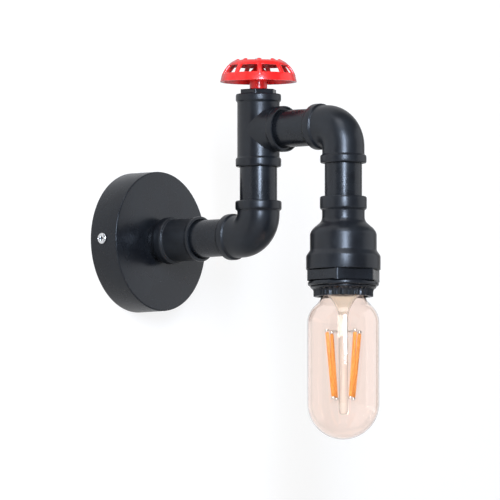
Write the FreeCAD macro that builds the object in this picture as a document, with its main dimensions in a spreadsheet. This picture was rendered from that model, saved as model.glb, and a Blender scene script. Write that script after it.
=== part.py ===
"""Industrial pipe wall light: a wall canopy, threaded pipe and fittings, a tap handwheel and a lamp.

Frame: millimetres, +Z up. The wall is the plane Y = 0 and the light stands out of it towards -Y.
The origin is the middle of the canopy's open back, on the wall.
"""
import FreeCAD
import Part
import math
import os
import re
import Sketcher

Vector = FreeCAD.Vector
Rotation = FreeCAD.Rotation
UP = Rotation()
DOWN = Rotation(Vector(1, 0, 0), 180)
OUT = Rotation(Vector(1, 0, 0), 90)
ALONG = Rotation(Vector(0, 1, 0), 90)

doc = FreeCAD.newDocument("pipe_wall_light")
sizes = doc.addObject("Spreadsheet::Sheet", "Sizes")

SIZES = {
    # canopy on the wall
    "canopy_radius": 43.6, "canopy_depth": 20.75, "canopy_wall": 1.2, "canopy_round": 1.6,
    "side_screw_out": 9.7, "side_screw_radius": 1.9, "side_screw_head": 3.45, "side_screw_rise": 1.7,
    "side_screw_length": 6.5, "hole_clearance": 0.08,
    # bracket behind it
    "bracket_sheet": 1.5, "bracket_arm": 22.0, "bracket_upright": 18.0, "bracket_height": 66.0,
    "bracket_tab": 15.0, "bracket_tab_width": 12.0, "bracket_gap": 0.3,
    "fixing_spacing": 50.0, "fixing_hole": 2.25, "cable_hole": 6.5, "earth_screw_inset": 15.15,
    "small_screw": 1.9, "small_head": 3.3, "small_head_rise": 2.0, "small_screw_length": 1.4,
    "washer_rim": 4.4, "washer_sheet": 0.8,
    "block_inset": 8.15, "block_width": 16.0, "block_length": 29.0, "block_depth": 12.0,
    "block_pitch": 9.0, "barrel_radius": 2.9, "barrel_bore": 1.6, "barrel_length": 14.0,
    "block_screw": 1.35, "block_screw_spread": 4.0, "block_screw_recess": 1.0,
    # hollow stem that clamps the canopy to the first coupling
    "stem_radius": 5.0, "stem_bore": 3.6, "stem_start": 11.5, "stem_reach": 9.5, "stem_clearance": 0.05,
    "nut_across": 14.0, "nut_depth": 4.0, "stem_washer_radius": 9.0, "stem_washer_sheet": 1.2,
    "collar_radius": 12.4, "collar_length": 3.75,
    # pipe and its fittings
    "pipe_radius": 11.7, "pipe_bore": 9.4, "fitting_radius": 13.25, "branch_radius": 13.1,
    "fit_clearance": 0.04, "band_round": 0.9, "socket_stop": 14.6, "bend_radius": 13.6,
    "mouth_depth": 1.6, "mouth_gap": 0.7, "tee_mouth_gap": 1.6,
    "coupling_length": 29.5, "coupling_floor": 7.5, "coupling_socket": 13.5, "coupling_radius": 14.7,
    "coupling_wall_band": 7.8, "coupling_mouth_band": 2.9, "coupling_mouth_radius": 14.2,
    "riser_out": 100.5, "branch_run": 69.4, "tee_height": 65.8,
    "elbow_long_leg": 23.84, "elbow_long_band": 5.1, "elbow_short_leg": 21.6, "elbow_short_band": 5.7,
    "upper_short_leg": 22.5, "elbow_band": 14.5,
    "tee_foot": 22.9, "tee_foot_band": 5.4, "tee_top": 22.75, "tee_top_band": 4.65, "tee_band": 14.2,
    "tee_branch": 22.4, "tee_branch_band": 4.9, "tee_branch_radius": 14.4, "branch_bore": 9.0,
    # plug and spindle in the tee's top
    "plug_circle": 11.9, "plug_hexagon": 2.8, "plug_chamfer": 0.8, "plug_thread": 8.0,
    "spindle_radius": 3.0, "spindle_clearance": 0.05, "spindle_foot": 3.2, "spindle_reach": 8.75,
    "clip_sheet": 0.8, "clip_radius": 4.6, "clip_groove": 2.4, "clip_gap": 0.25,
    "gland_radius": 4.2, "gland_depth": 2.0, "gland_clearance": 0.3, "hub_gap": 0.3,
    # handwheel, measured up from the foot of its hub
    "hub_radius": 5.5, "hub_top": 10.75, "neck_radius": 2.9, "wheel_bottom": 4.45, "wheel_radius": 23.8,
    "rim_top": 9.55, "rim_top_radius": 22.6, "rim_wall": 1.7, "crown_foot": 15.85,
    "crown_foot_radius": 18.3, "crown_edge": 17.95, "crown_edge_radius": 14.2, "crown_wall": 1.7,
    "dome_curve": 18.0, "rib_width": 2.8, "rib_proud": 0.6, "rim_rib": 0.3, "rib_run": 2.0,
    "rib_start": 22.0, "crown_dish": 8.0, "crown_dish_depth": 0.6,
    "wheel_screw_radius": 1.4, "wheel_screw_head": 2.9, "wheel_screw_rise": 1.3, "wheel_screw_bite": 4.5,
    "wheel_washer_radius": 4.6, "wheel_washer_sheet": 0.7,
    # lamp, measured up from the level of the wall coupling's axis
    "lamp_drop": 65.8, "bell_top": 21.2, "bell_band": 14.7, "bell_band_foot": 13.4, "bell_neck": 8.0,
    "bell_throat": 3.0, "bell_throat_radius": 16.4, "bell_shoulder": -3.3, "bell_radius": 20.9,
    "bell_throat_curve": 7.0, "bell_shoulder_curve": 8.5, "bell_step": -12.8, "bell_step_radius": 22.7,
    "bell_step_foot": -16.0, "bell_step_curve": 4.5, "bell_skirt": -17.4, "bell_skirt_radius": 23.3,
    "bell_skirt_curve": 1.8, "bell_foot": -24.9, "bell_wall": 2.2, "bell_socket": 12.2,
    "bell_bore_foot": 9.0, "bell_thread_radius": 20.3, "bell_thread_top": -13.0, "bell_foot_round": 0.6,
    "bush_circle": 24.2, "bush_length": 7.2, "bush_chamfer": 1.2, "bush_thread": 10.0,
    "flange_sheet": 2.9, "flange_radius": 22.25, "flange_round": 1.2,
    "holder_radius": 17.15, "holder_length": 31.0, "holder_inner": 15.6, "holder_skirt": 16.75,
    "holder_skirt_length": 5.3, "holder_lid": 1.5, "holder_lid_hole": 5.5,
    "liner_gap": 0.06, "liner_inner": 14.1, "liner_lip": 0.4, "liner_crown": 5.0, "liner_wire_hole": 2.0,
    "shell_sheet": 0.4, "shell_gap": 0.04, "shell_length": 21.0, "shell_lip": 1.2,
    "tongue_width": 5.0, "tongue_sheet": 0.5, "tongue_length": 16.0, "contact_gap": 0.1,
    "terminal_offset": 9.0, "terminal_radius": 1.5, "terminal_head": 2.6, "terminal_rise": 1.6,
    "terminal_bite": 3.5,
    "ring_gap": 0.3, "ring_length": 6.3, "ring_radius": 18.75, "ring_flare": 20.8, "ring_flare_drop": 1.7,
    "ring_flare_curve": 3.4, "ring_clearance": 0.06, "ring_lip": 15.75, "ring_lip_sheet": 1.0,
    "ring_top_rim": 0.5, "flute_radius": 0.95, "flute_bite": 0.6,
    # bulb, measured down from the rim of its cap
    "cap_depth": 3.1, "cap_height": 25.5, "cap_radius": 13.15, "cap_sheet": 0.35, "cap_groove": 0.75,
    "cap_skirt": 3.6, "cap_turn": 3.4, "cap_cone": 8.6, "cap_cone_height": 22.0, "cap_threads_top": 17.2,
    "cap_glass": 5.4, "cap_glass_height": 24.2, "cap_contact": 4.2,
    "bulb_radius": 22.5, "bulb_length": 92.5, "bulb_shoulder": 19.5, "shoulder_curve": 14.5,
    "neck_drop": 8.6, "neck_radius_low": 17.6, "neck_curve": 15.7, "neck_root": 12.6,
    "glass_wall": 0.7, "flare_clearance": 0.05,
    "stem_glass": 3.0, "stem_length": 77.0, "stem_shoulder": 14.0,
    "filament_radius": 1.2, "filament_top": 24.0, "filament_foot": 66.0, "filament_top_out": 12.7,
    "filament_foot_out": 7.8, "clip_length": 1.8, "filament_clip": 1.3, "wire_radius": 0.35,
    "filament_start": 76.0,
}
DERIVED = {
    "tab_face": "=sqrt((canopy_radius - canopy_wall) ^ 2 - bracket_arm ^ 2 / 4) - bracket_gap",
    "earth_screw_offset": "=tab_face - bracket_sheet - earth_screw_inset",
    "block_offset": "=tab_face - bracket_sheet - block_inset - block_width / 2",
    "drop_out": "=riser_out + branch_run",
    "nut_circle": "=nut_across / sqrt(3)",
    "canopy_inside": "=canopy_depth - canopy_wall",
    "coupling_start": "=canopy_depth + collar_length",
    "plug_seat": "=tee_height + tee_top",
    "wheel_seat": "=plug_seat + plug_hexagon + hub_gap",
    "lamp_height": "=tee_height - lamp_drop",
    "crown_under": "=crown_edge - crown_wall",
    "bush_foot": "=bell_foot - bush_length",
    "flange_foot": "=bush_foot - flange_sheet",
    "holder_top": "=flange_foot + holder_length",
    "ring_top": "=flange_foot - ring_gap",
    "ring_foot": "=ring_top - ring_length",
    "cap_foot": "=ring_foot + cap_depth",
    "contact_top": "=cap_foot + cap_height",
    "liner_floor": "=contact_top + contact_gap + tongue_sheet",
    "liner_outer": "=holder_inner - liner_gap",
    "shell_outer": "=liner_inner - shell_gap",
    "filament_lean": "=atan((filament_top_out - filament_foot_out) / (filament_foot - filament_top))",
    "clip_inward": "=clip_length * sin(filament_lean)",
    "clip_downward": "=clip_length * cos(filament_lean)",
    "filament_length": "=sqrt((filament_top_out - filament_foot_out) ^ 2"
                       " + (filament_foot - filament_top) ^ 2) - clip_length",
}
COUNTS = {"wheel_ribs": 9, "block_poles": 3, "filaments": 4, "cap_threads": 4, "flutes": 32}
EXPORTED = {}


def fill_sheet():
    """Writes every driving size into the sheet under its own word."""
    for row, (word, size) in enumerate(SIZES.items(), start=1):
        sizes.set("A%d" % row, word)
        sizes.set("B%d" % row, str(size))
        sizes.setAlias("B%d" % row, word)
    for row, (word, formula) in enumerate(DERIVED.items(), start=len(SIZES) + 2):
        sizes.set("A%d" % row, word)
        sizes.set("B%d" % row, formula)
        sizes.setAlias("B%d" % row, word)
    doc.recompute()


def value(text):
    """Works out a sum such as 'bell_top - mouth_depth / 2' from the sheet."""
    total = 0.0
    for sign, term in re.findall(r"(^|[+-])\s*([^+-]+)", text.replace(" ", "")):
        factors = re.split(r"([*/])", term)
        number = 1.0
        for operator, factor in zip(["*"] + factors[1::2], factors[0::2]):
            size = float(factor) if factor[0].isdigit() else float(getattr(sizes, factor))
            number = number * size if operator == "*" else number / size
        total += -number if sign == "-" else number
    return total


def bound(text):
    """The same sum as an expression that reads the sheet's cells."""
    return re.sub(r"([a-z][a-z_]+)", r"Sizes.\1", text)


def bind(thing, **sums):
    """Binds properties to sums of sheet cells; a property name's double underscore is a dot."""
    for name, text in sums.items():
        thing.setExpression(name.replace("__", "."), bound(text))
    return thing


def place(thing, turn=UP, x="0", y="0", z="0"):
    """Turns a piece and binds where its own origin lies."""
    thing.Placement = FreeCAD.Placement(Vector(), turn)
    for letter, text in (("x", x), ("y", y), ("z", z)):
        if text != "0":
            thing.setExpression("Placement.Base." + letter, bound(text))
    return thing


def arc_middle(start, end, radius):
    """The middle of the short arc from start to end; a negative radius bulges to the other side."""
    chord = end - start
    half = chord.Length / 2
    sagitta = abs(radius) - math.sqrt(max(radius * radius - half * half, 0.0))
    normal = Vector(chord.y, -chord.x, 0).normalize()
    return (start + end) * 0.5 + normal * math.copysign(sagitta, radius)


def turned(name, outline):
    """A body turned about its own Z axis from a closed outline of (radius, height) sums.

    A third entry makes the side that ends at that point an arc: the sum of its radius, with a
    minus sign where it bulges to the left of the way round.
    """
    body = doc.addObject("PartDesign::Body", name)
    sketch = body.newObject("Sketcher::SketchObject", name + "_outline")
    planes = {feature.Role: feature for feature in body.Origin.OriginFeatures}
    sketch.AttachmentSupport = [(planes["XZ_Plane"], "")]
    sketch.MapMode = "FlatFace"
    corners = [Vector(value(point[0]), value(point[1]), 0) for point in outline]
    ends = []
    for side, corner in enumerate(corners):
        following = (side + 1) % len(corners)
        curve = outline[following][2] if len(outline[following]) > 2 else None
        if curve is None:
            sketch.addGeometry(Part.LineSegment(corner, corners[following]), False)
            ends.append((1, 2))
            continue
        radius = value(curve)
        middle = arc_middle(corner, corners[following], radius)
        if radius > 0:
            sketch.addGeometry(Part.Arc(corner, middle, corners[following]), False)
            ends.append((1, 2))
        else:
            sketch.addGeometry(Part.Arc(corners[following], middle, corner), False)
            ends.append((2, 1))
        number = sketch.addConstraint(Sketcher.Constraint("Radius", side, abs(radius)))
        sketch.setExpression("Constraints[%d]" % number, bound(curve.lstrip("-")))
    for side, corner in enumerate(corners):
        following = (side + 1) % len(corners)
        sketch.addConstraint(
            Sketcher.Constraint("Coincident", side, ends[side][1], following, ends[following][0]))
        start = ends[side][0]
        if outline[side][0] == "0":
            sketch.addConstraint(Sketcher.Constraint("PointOnObject", side, start, -2))
        else:
            number = sketch.addConstraint(
                Sketcher.Constraint("DistanceX", -1, 1, side, start, corner.x))
            sketch.setExpression("Constraints[%d]" % number, bound(outline[side][0]))
        if outline[side][1] == "0":
            sketch.addConstraint(Sketcher.Constraint("PointOnObject", side, start, -1))
        else:
            number = sketch.addConstraint(
                Sketcher.Constraint("DistanceY", -1, 1, side, start, corner.y))
            sketch.setExpression("Constraints[%d]" % number, bound(outline[side][1]))
    turning = body.newObject("PartDesign::Revolution", name + "_turned")
    turning.Profile = sketch
    turning.ReferenceAxis = (sketch, ["V_Axis"])
    turning.Angle = 360.0
    return body


def rod(name, radius, height, turn=UP, **where):
    """A plain cylinder from its own origin along its own Z axis."""
    return place(bind(doc.addObject("Part::Cylinder", name), Radius=radius, Height=height), turn, **where)


def box(name, length, width, height, turn=UP, **where):
    """A block whose corner is its own origin."""
    block = bind(doc.addObject("Part::Box", name), Length=length, Width=width, Height=height)
    return place(block, turn, **where)


def prism(name, circle, height, turn=UP, **where):
    """A hexagonal bar with the given corner radius."""
    bar = doc.addObject("Part::Prism", name)
    bar.Polygon = 6
    return place(bind(bar, Circumradius=circle, Height=height), turn, **where)


def cut(name, base, *tools):
    """Takes the tools out of the base, one after the other."""
    for number, tool in enumerate(tools):
        last = number == len(tools) - 1
        result = doc.addObject("Part::Cut", name if last else "%s_cut_%d" % (name, number))
        result.Base = base
        result.Tool = tool
        base = result
    return base


def fuse(name, *pieces):
    """Joins pieces that overlap into one."""
    result = doc.addObject("Part::MultiFuse", name)
    result.Shapes = list(pieces)
    result.Refine = True
    return result


def common(name, base, tool):
    """What two shapes share."""
    result = doc.addObject("Part::Common", name)
    result.Base = base
    result.Tool = tool
    return result


def group(name, pieces):
    """Separate solids kept as one node."""
    result = doc.addObject("Part::Compound", name)
    result.Links = list(pieces)
    return result


def node(name, thing):
    """Marks a finished sub-part, whose label names its file."""
    thing.Label = name
    EXPORTED[name] = thing
    return thing


def ring_outline(inner, outer, low, high):
    """The outline of a plain ring."""
    return [(inner, low), (outer, low), (outer, high), (inner, high)]


def screw(name, radius, length, head, rise):
    """A round-headed screw: the head stands up from its own origin and the shank hangs below."""
    return turned(name, [
        ("0", "-" + length), (radius, "-" + length), (radius, "0"), (head, "0"),
        (head, rise + " / 2"), (head + " * 2 / 3", rise), ("0", rise)])


def pipe(name, low, high, turn=UP, **where):
    """A length of plain pipe between two heights on its own axis."""
    return node(name, place(turned(name, ring_outline("pipe_bore", "pipe_radius", low, high)), turn, **where))


def banded(start, reach, radius, band, width):
    """Half outline of a fitting's leg with a rounded band at its mouth, as a solid."""
    low = reach + " - " + width
    return [
        ("0", start), (radius, start), (radius, low), (band + " - band_round", low),
        (band, low + " + band_round", "band_round"), (band, reach + " - band_round"),
        (band + " - band_round", reach, "band_round"), ("0", reach)]


def socket(name, start, reach, gap, bore="pipe_bore"):
    """The hollow of a leg: the flow bore, the pipe's socket and the wider mouth."""
    seat = "pipe_radius + fit_clearance"
    return turned(name, [
        ("0", start), (bore, start), (bore, "socket_stop"), (seat, "socket_stop"),
        (seat, reach + " - mouth_depth"), ("pipe_radius + " + gap, reach + " - mouth_depth"),
        ("pipe_radius + " + gap, reach), ("0", reach)])


def bend(name, radius):
    """A quarter ring that joins a leg along +X to a leg along +Z."""
    quarter = doc.addObject("Part::Torus", name)
    quarter.Angle3 = 90.0
    bind(quarter, Radius1="bend_radius", Radius2=radius)
    turn = Rotation(Vector(0, 0, -1), Vector(-1, 0, 0), Vector(0, 1, 0), "ZXY")
    return place(quarter, turn, x="bend_radius", z="bend_radius")


def elbow(name, first, first_band, second, second_band, turn, **where):
    """A quarter-turn fitting: its first leg lies along its own +X, its second along +Z."""
    outer = []
    hollow = []
    legs = (("a", first, first_band, ALONG), ("b", second, second_band, UP))
    for letter, reach, width, way in legs:
        outline = banded("bend_radius", reach, "fitting_radius", "elbow_band", width)
        outer.append(place(turned("%s_leg_%s" % (name, letter), outline), way))
        hollow.append(place(socket("%s_bore_%s" % (name, letter), "bend_radius", reach, "mouth_gap"), way))
    outer.append(bend(name + "_bend", "fitting_radius"))
    hollow.append(bend(name + "_hollow_bend", "pipe_bore"))
    shape = cut(name + "_cut", fuse(name + "_outside", *outer), fuse(name + "_hollow", *hollow))
    return node(name, place(group(name, [shape]), turn, **where))


def canopy():
    """A spun cup, open at the wall, with a hole for the stem and one in each side for a screw."""
    bore = "stem_radius + stem_clearance"
    cup = turned("canopy_cup", [
        ("canopy_radius - canopy_wall", "0"), ("canopy_radius", "0"),
        ("canopy_radius", "canopy_depth - canopy_round"),
        ("canopy_radius - canopy_round", "canopy_depth", "canopy_round"), (bore, "canopy_depth"),
        (bore, "canopy_inside"), ("canopy_radius - canopy_wall", "canopy_inside")])
    place(cup, OUT)
    hole = rod("canopy_side_hole", "side_screw_radius + hole_clearance", "canopy_radius * 4", ALONG,
               x="-canopy_radius * 2", y="-side_screw_out")
    node("canopy", cut("canopy", cup, hole))
    screws = []
    for side, turn in ((-1, Rotation(Vector(0, 1, 0), -90)), (1, ALONG)):
        one = screw("side_screw_%d" % (side + 1), "side_screw_radius", "side_screw_length",
                    "side_screw_head", "side_screw_rise")
        screws.append(place(one, turn, x="%d * canopy_radius" % side, y="-side_screw_out"))
    node("canopy_screws", group("canopy_screws", screws))


def wall_bracket():
    """A cross of sheet steel on the wall; its arm ends turn out and take the canopy's screws."""
    arm = box("bracket_arm_plate", "tab_face * 2", "bracket_sheet", "bracket_arm",
              x="-tab_face", y="-bracket_sheet", z="-bracket_arm / 2")
    upright = box("bracket_upright_plate", "bracket_upright", "bracket_sheet", "bracket_height",
                  x="-bracket_upright / 2", y="-bracket_sheet", z="-bracket_height / 2")
    tabs = []
    for side, start in (("left", "-tab_face"), ("right", "tab_face - bracket_sheet")):
        tabs.append(box("bracket_tab_" + side, "bracket_sheet", "bracket_tab", "bracket_tab_width",
                        x=start, y="-bracket_tab", z="-bracket_tab_width / 2"))
    plate = fuse("bracket_plate", arm, upright, *tabs)
    holes = [
        rod("bracket_tab_hole", "side_screw_radius + hole_clearance", "canopy_radius * 4", ALONG,
            x="-canopy_radius * 2", y="-side_screw_out"),
        rod("bracket_cable_hole", "cable_hole", "bracket_sheet * 3", OUT, y="bracket_sheet"),
        rod("bracket_earth_hole", "small_screw + hole_clearance", "bracket_sheet * 3", OUT,
            x="-earth_screw_offset", y="bracket_sheet"),
        rod("bracket_block_hole", "small_screw + hole_clearance", "bracket_sheet * 3", OUT,
            x="block_offset", y="bracket_sheet"),
    ]
    for side in (-1, 1):
        holes.append(rod("bracket_fixing_hole_%d" % (side + 1), "fixing_hole", "bracket_sheet * 3", OUT,
                         y="bracket_sheet", z="%d * fixing_spacing / 2" % side))
    node("wall_bracket", cut("wall_bracket", plate, *holes))


def earthing():
    """The earth screw and its washer on the bracket's arm."""
    washer = turned("earth_washer", ring_outline("small_screw + hole_clearance", "washer_rim",
                                                 "0", "washer_sheet"))
    node("earth_washer", place(washer, OUT, x="-earth_screw_offset", y="-bracket_sheet"))
    one = screw("earth_screw", "small_screw", "small_screw_length + washer_sheet", "small_head",
                "small_head_rise")
    node("earth_screw", place(one, OUT, x="-earth_screw_offset", y="-bracket_sheet - washer_sheet"))


def terminal_block():
    """A three-way block on the bracket: a moulded body, brass barrels across it, two screws in each."""
    body = box("block_body", "block_width", "block_depth", "block_length",
               x="block_offset - block_width / 2", y="-bracket_sheet - block_depth", z="-block_length / 2")
    tools = []
    barrels = []
    screws = []
    middle = "block_offset - barrel_length / 2"
    for pole in range(COUNTS["block_poles"]):
        step = "%d * block_pitch" % (pole - 1)
        depth = "-bracket_sheet - block_depth / 2"
        tools.append(rod("block_way_%d" % pole, "barrel_radius", "block_width * 2", ALONG,
                         x="block_offset - block_width", y=depth, z=step))
        barrel = rod("barrel_%d" % pole, "barrel_radius", "barrel_length", ALONG, x=middle, y=depth, z=step)
        inside = [rod("barrel_bore_%d" % pole, "barrel_bore", "block_width * 2", ALONG,
                      x="block_offset - block_width", y=depth, z=step)]
        for side in (-1, 1):
            across = "block_offset + %d * block_screw_spread" % side
            number = "%d_%d" % (pole, side + 1)
            tools.append(rod("block_well_" + number, "block_screw + hole_clearance", "block_depth", OUT,
                             x=across, y=depth, z=step))
            inside.append(rod("barrel_hole_" + number, "block_screw + hole_clearance", "block_depth", OUT,
                              x=across, y=depth, z=step))
            screws.append(rod("block_screw_" + number, "block_screw",
                              "block_depth / 2 - block_screw_recess", OUT, x=across, y=depth, z=step))
        barrels.append(cut("barrel_tube_%d" % pole, barrel, *inside))
    tools.append(rod("block_head_recess", "small_head + hole_clearance", "block_depth", OUT, x="block_offset",
                     y="-bracket_sheet - block_depth"))
    node("terminal_block", cut("terminal_block", body, *tools))
    node("terminal_barrels", group("terminal_barrels", barrels))
    node("terminal_screws", group("terminal_screws", screws))


def stem_and_collar():
    """The hollow threaded stem with its nut and washer inside the canopy and its collar outside."""
    bore = "stem_radius + stem_clearance"
    stem = turned("canopy_stem", ring_outline("stem_bore", "stem_radius", "stem_start",
                                              "coupling_start + stem_reach"))
    node("canopy_stem", place(stem, OUT))
    washer = turned("stem_washer", ring_outline(bore, "stem_washer_radius", "0", "stem_washer_sheet"))
    node("stem_washer", place(washer, OUT, y="stem_washer_sheet - canopy_inside"))
    nut = prism("nut_bar", "nut_circle", "nut_depth")
    hole = rod("nut_hole", bore, "nut_depth")
    node("stem_nut", place(group("stem_nut", [cut("nut_cut", nut, hole)]), OUT,
                           y="stem_washer_sheet + nut_depth - canopy_inside"))
    collar = turned("canopy_collar", ring_outline(bore, "collar_radius", "canopy_depth", "coupling_start"))
    node("canopy_collar", place(collar, OUT))


def wall_coupling():
    """The first fitting: a sleeve with a broad band at the wall and a slim one at its mouth."""
    seat = "pipe_radius + fit_clearance"
    band = "coupling_radius"
    mouth = "coupling_mouth_radius"
    low = "coupling_length - coupling_mouth_band"
    sleeve = turned("wall_coupling", [
        ("stem_radius + stem_clearance", "0"), (band + " - band_round", "0"),
        (band, "band_round", "band_round"), (band, "coupling_wall_band - band_round"),
        (band + " - band_round", "coupling_wall_band", "band_round"),
        ("fitting_radius", "coupling_wall_band"), ("fitting_radius", low),
        (mouth + " - band_round", low), (mouth, low + " + band_round", "band_round"),
        (mouth, "coupling_length - band_round"),
        (mouth + " - band_round", "coupling_length", "band_round"),
        ("pipe_radius + mouth_gap", "coupling_length"),
        ("pipe_radius + mouth_gap", "coupling_length - mouth_depth"),
        (seat, "coupling_length - mouth_depth"), (seat, "coupling_socket"),
        ("pipe_bore", "coupling_socket"), ("pipe_bore", "coupling_floor"),
        ("stem_radius + stem_clearance", "coupling_floor")])
    node("wall_coupling", place(sleeve, OUT, y="-coupling_start"))


def pipes():
    """The four plain lengths of pipe."""
    pipe("wall_nipple", "coupling_start + coupling_socket", "riser_out - socket_stop", OUT)
    pipe("riser_pipe", "socket_stop", "tee_height - socket_stop", y="-riser_out")
    pipe("branch_nipple", "riser_out + socket_stop", "drop_out - socket_stop", OUT, z="tee_height")
    pipe("drop_pipe", "lamp_height + bell_socket", "tee_height - socket_stop", y="-drop_out")


def elbows():
    """The lower elbow turns the run up, the upper one turns it down."""
    away = Rotation(Vector(0, 0, 1), 90)
    elbow("lower_elbow", "elbow_long_leg", "elbow_long_band", "elbow_short_leg", "elbow_short_band",
          away, y="-riser_out")
    under = Rotation(Vector(0, 1, 0), Vector(1, 0, 0), Vector(0, 0, -1), "ZXY")
    elbow("upper_elbow", "upper_short_leg", "elbow_short_band", "elbow_long_leg", "elbow_long_band",
          under, y="-drop_out", z="tee_height")


def tee():
    """The three-way fitting: an upright run with a branch towards the lamp."""
    outer = []
    hollow = []
    legs = (
        ("top", "tee_top", "tee_top_band", "fitting_radius", "tee_band", UP, "mouth_gap", "pipe_bore"),
        ("foot", "tee_foot", "tee_foot_band", "fitting_radius", "tee_band", DOWN, "mouth_gap",
         "pipe_bore"),
        ("branch", "tee_branch", "tee_branch_band", "branch_radius", "tee_branch_radius", OUT,
         "tee_mouth_gap", "branch_bore"),
    )
    for letter, reach, width, radius, band, way, gap, bore in legs:
        outer.append(place(turned("tee_leg_" + letter, banded("0", reach, radius, band, width)), way))
        hollow.append(place(socket("tee_bore_" + letter, "0", reach, gap, bore), way))
    shape = cut("tee_cut", fuse("tee_outside", *outer), fuse("tee_hollow", *hollow))
    node("tee", place(group("tee", [shape]), y="-riser_out", z="tee_height"))


def hex_plug():
    """The hexagonal plug in the tee's top, bored for the spindle and recessed for its seal."""
    chamfer = "plug_hexagon - plug_chamfer / 2"
    outside = turned("plug_outside", [
        ("0", "0"), ("plug_circle", "0"), ("plug_circle", chamfer),
        ("plug_circle - plug_chamfer", "plug_hexagon"), ("0", "plug_hexagon")])
    head = common("plug_head", prism("plug_bar", "plug_circle", "plug_hexagon",
                                     Rotation(Vector(0, 0, 1), 30)), outside)
    bore = "spindle_radius + spindle_clearance"
    shank = rod("plug_shank", "pipe_radius", "plug_thread", z="-plug_thread")
    hollow = turned("plug_hollow", [
        ("0", "-plug_thread"), ("gland_radius", "-plug_thread"),
        ("gland_radius", "gland_depth - plug_thread"), (bore, "gland_depth - plug_thread"),
        (bore, "plug_hexagon"), ("0", "plug_hexagon")])
    shape = cut("plug_cut", fuse("plug_solid", head, shank), hollow)
    node("hex_plug", place(group("hex_plug", [shape]), y="-riser_out", z="plug_seat"))
    seal = turned("gland_ring", ring_outline("spindle_radius + gland_clearance", "gland_radius",
                                             "-plug_thread", "gland_depth - plug_thread"))
    node("gland_ring", place(seal, y="-riser_out", z="plug_seat"))


def spindle():
    """The spindle through the plug, held up by a clip in its groove below the plug."""
    foot = "-plug_thread - clip_gap - clip_sheet"
    sheath = turned("valve_spindle", [
        ("0", foot + " - spindle_foot"), ("spindle_radius", foot + " - spindle_foot"),
        ("spindle_radius", foot), ("clip_groove", foot),
        ("clip_groove", foot + " + clip_sheet"), ("spindle_radius", foot + " + clip_sheet"),
        ("spindle_radius", "plug_hexagon + hub_gap + spindle_reach"),
        ("wheel_screw_radius", "plug_hexagon + hub_gap + spindle_reach"),
        ("wheel_screw_radius", "plug_hexagon + hub_gap + spindle_reach - wheel_screw_bite"),
        ("0", "plug_hexagon + hub_gap + spindle_reach - wheel_screw_bite")])
    node("valve_spindle", place(sheath, y="-riser_out", z="plug_seat"))
    clip = turned("spindle_clip", ring_outline("clip_groove", "clip_radius", foot, foot + " + clip_sheet"))
    node("spindle_clip", place(clip, y="-riser_out", z="plug_seat"))


def handwheel():
    """A domed tap wheel: a rim, a crown over the hub, and ribs that join them between open windows."""
    rim = turned("wheel_rim", [
        ("wheel_radius - rim_wall", "wheel_bottom"), ("wheel_radius", "wheel_bottom"),
        ("rim_top_radius", "rim_top"), ("rim_top_radius - rim_wall", "rim_top")])
    inner_edge = "crown_foot_radius - crown_wall"
    hub_bore = "spindle_radius + spindle_clearance"
    crown = turned("wheel_crown", [
        (hub_bore, "0"), ("hub_radius", "0"), ("hub_radius", "hub_top"),
        ("neck_radius", "hub_top + hub_radius - neck_radius"), ("neck_radius", "crown_under"),
        (inner_edge, "crown_under"), (inner_edge, "crown_foot"), ("crown_foot_radius", "crown_foot"),
        ("crown_edge_radius", "crown_edge", "dome_curve"), ("crown_dish", "crown_edge"),
        ("crown_dish", "crown_edge - crown_dish_depth"),
        ("wheel_screw_radius", "crown_edge - crown_dish_depth"),
        ("wheel_screw_radius", "spindle_reach"), (hub_bore, "spindle_reach")])
    rib_inner = "crown_edge_radius - rib_run"
    shell = turned("wheel_rib_shell", [
        ("wheel_radius - rim_wall", "wheel_bottom"), ("wheel_radius + rim_rib", "wheel_bottom"),
        ("rim_top_radius + rib_proud", "rim_top"),
        ("crown_edge_radius", "crown_edge + rib_proud", "dome_curve"),
        (rib_inner, "crown_edge + rib_proud"), (rib_inner, "crown_under"),
        ("rim_top_radius - rim_wall", "rim_top", "-dome_curve")])
    blades = []
    for number in range(COUNTS["wheel_ribs"]):
        angle = value("rib_start") + 360.0 / COUNTS["wheel_ribs"] * number
        sine = math.sin(math.radians(angle))
        cosine = math.cos(math.radians(angle))
        blade = box("rib_blade_%d" % number, "wheel_radius + rib_width", "rib_width",
                    "crown_edge * 2", Rotation(Vector(0, 0, 1), angle))
        blade.setExpression("Placement.Base.x", bound("rib_width * %.9f" % (sine / 2)))
        blade.setExpression("Placement.Base.y", bound("-rib_width * %.9f" % (cosine / 2)))
        blades.append(blade)
    ribs = common("wheel_ribs", shell, fuse("rib_star", *blades))
    wheel = fuse("wheel_all", rim, crown, ribs)
    node("handwheel", place(group("handwheel", [wheel]), y="-riser_out", z="wheel_seat"))
    washer = turned("wheel_washer", ring_outline("wheel_screw_radius", "wheel_washer_radius",
                                                 "crown_edge - crown_dish_depth",
                                                 "crown_edge - crown_dish_depth + wheel_washer_sheet"))
    node("wheel_washer", place(washer, y="-riser_out", z="wheel_seat"))
    under = "crown_edge - crown_dish_depth + wheel_washer_sheet"
    foot = "spindle_reach - wheel_screw_bite"
    fixing = turned("wheel_screw", [
        ("0", foot), ("wheel_screw_radius", foot), ("wheel_screw_radius", under),
        ("wheel_screw_head", under), ("wheel_screw_head", under + " + wheel_screw_rise / 2"),
        ("wheel_screw_head * 2 / 3", under + " + wheel_screw_rise"), ("0", under + " + wheel_screw_rise")])
    node("wheel_screw", place(fixing, y="-riser_out", z="wheel_seat"))


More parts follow.
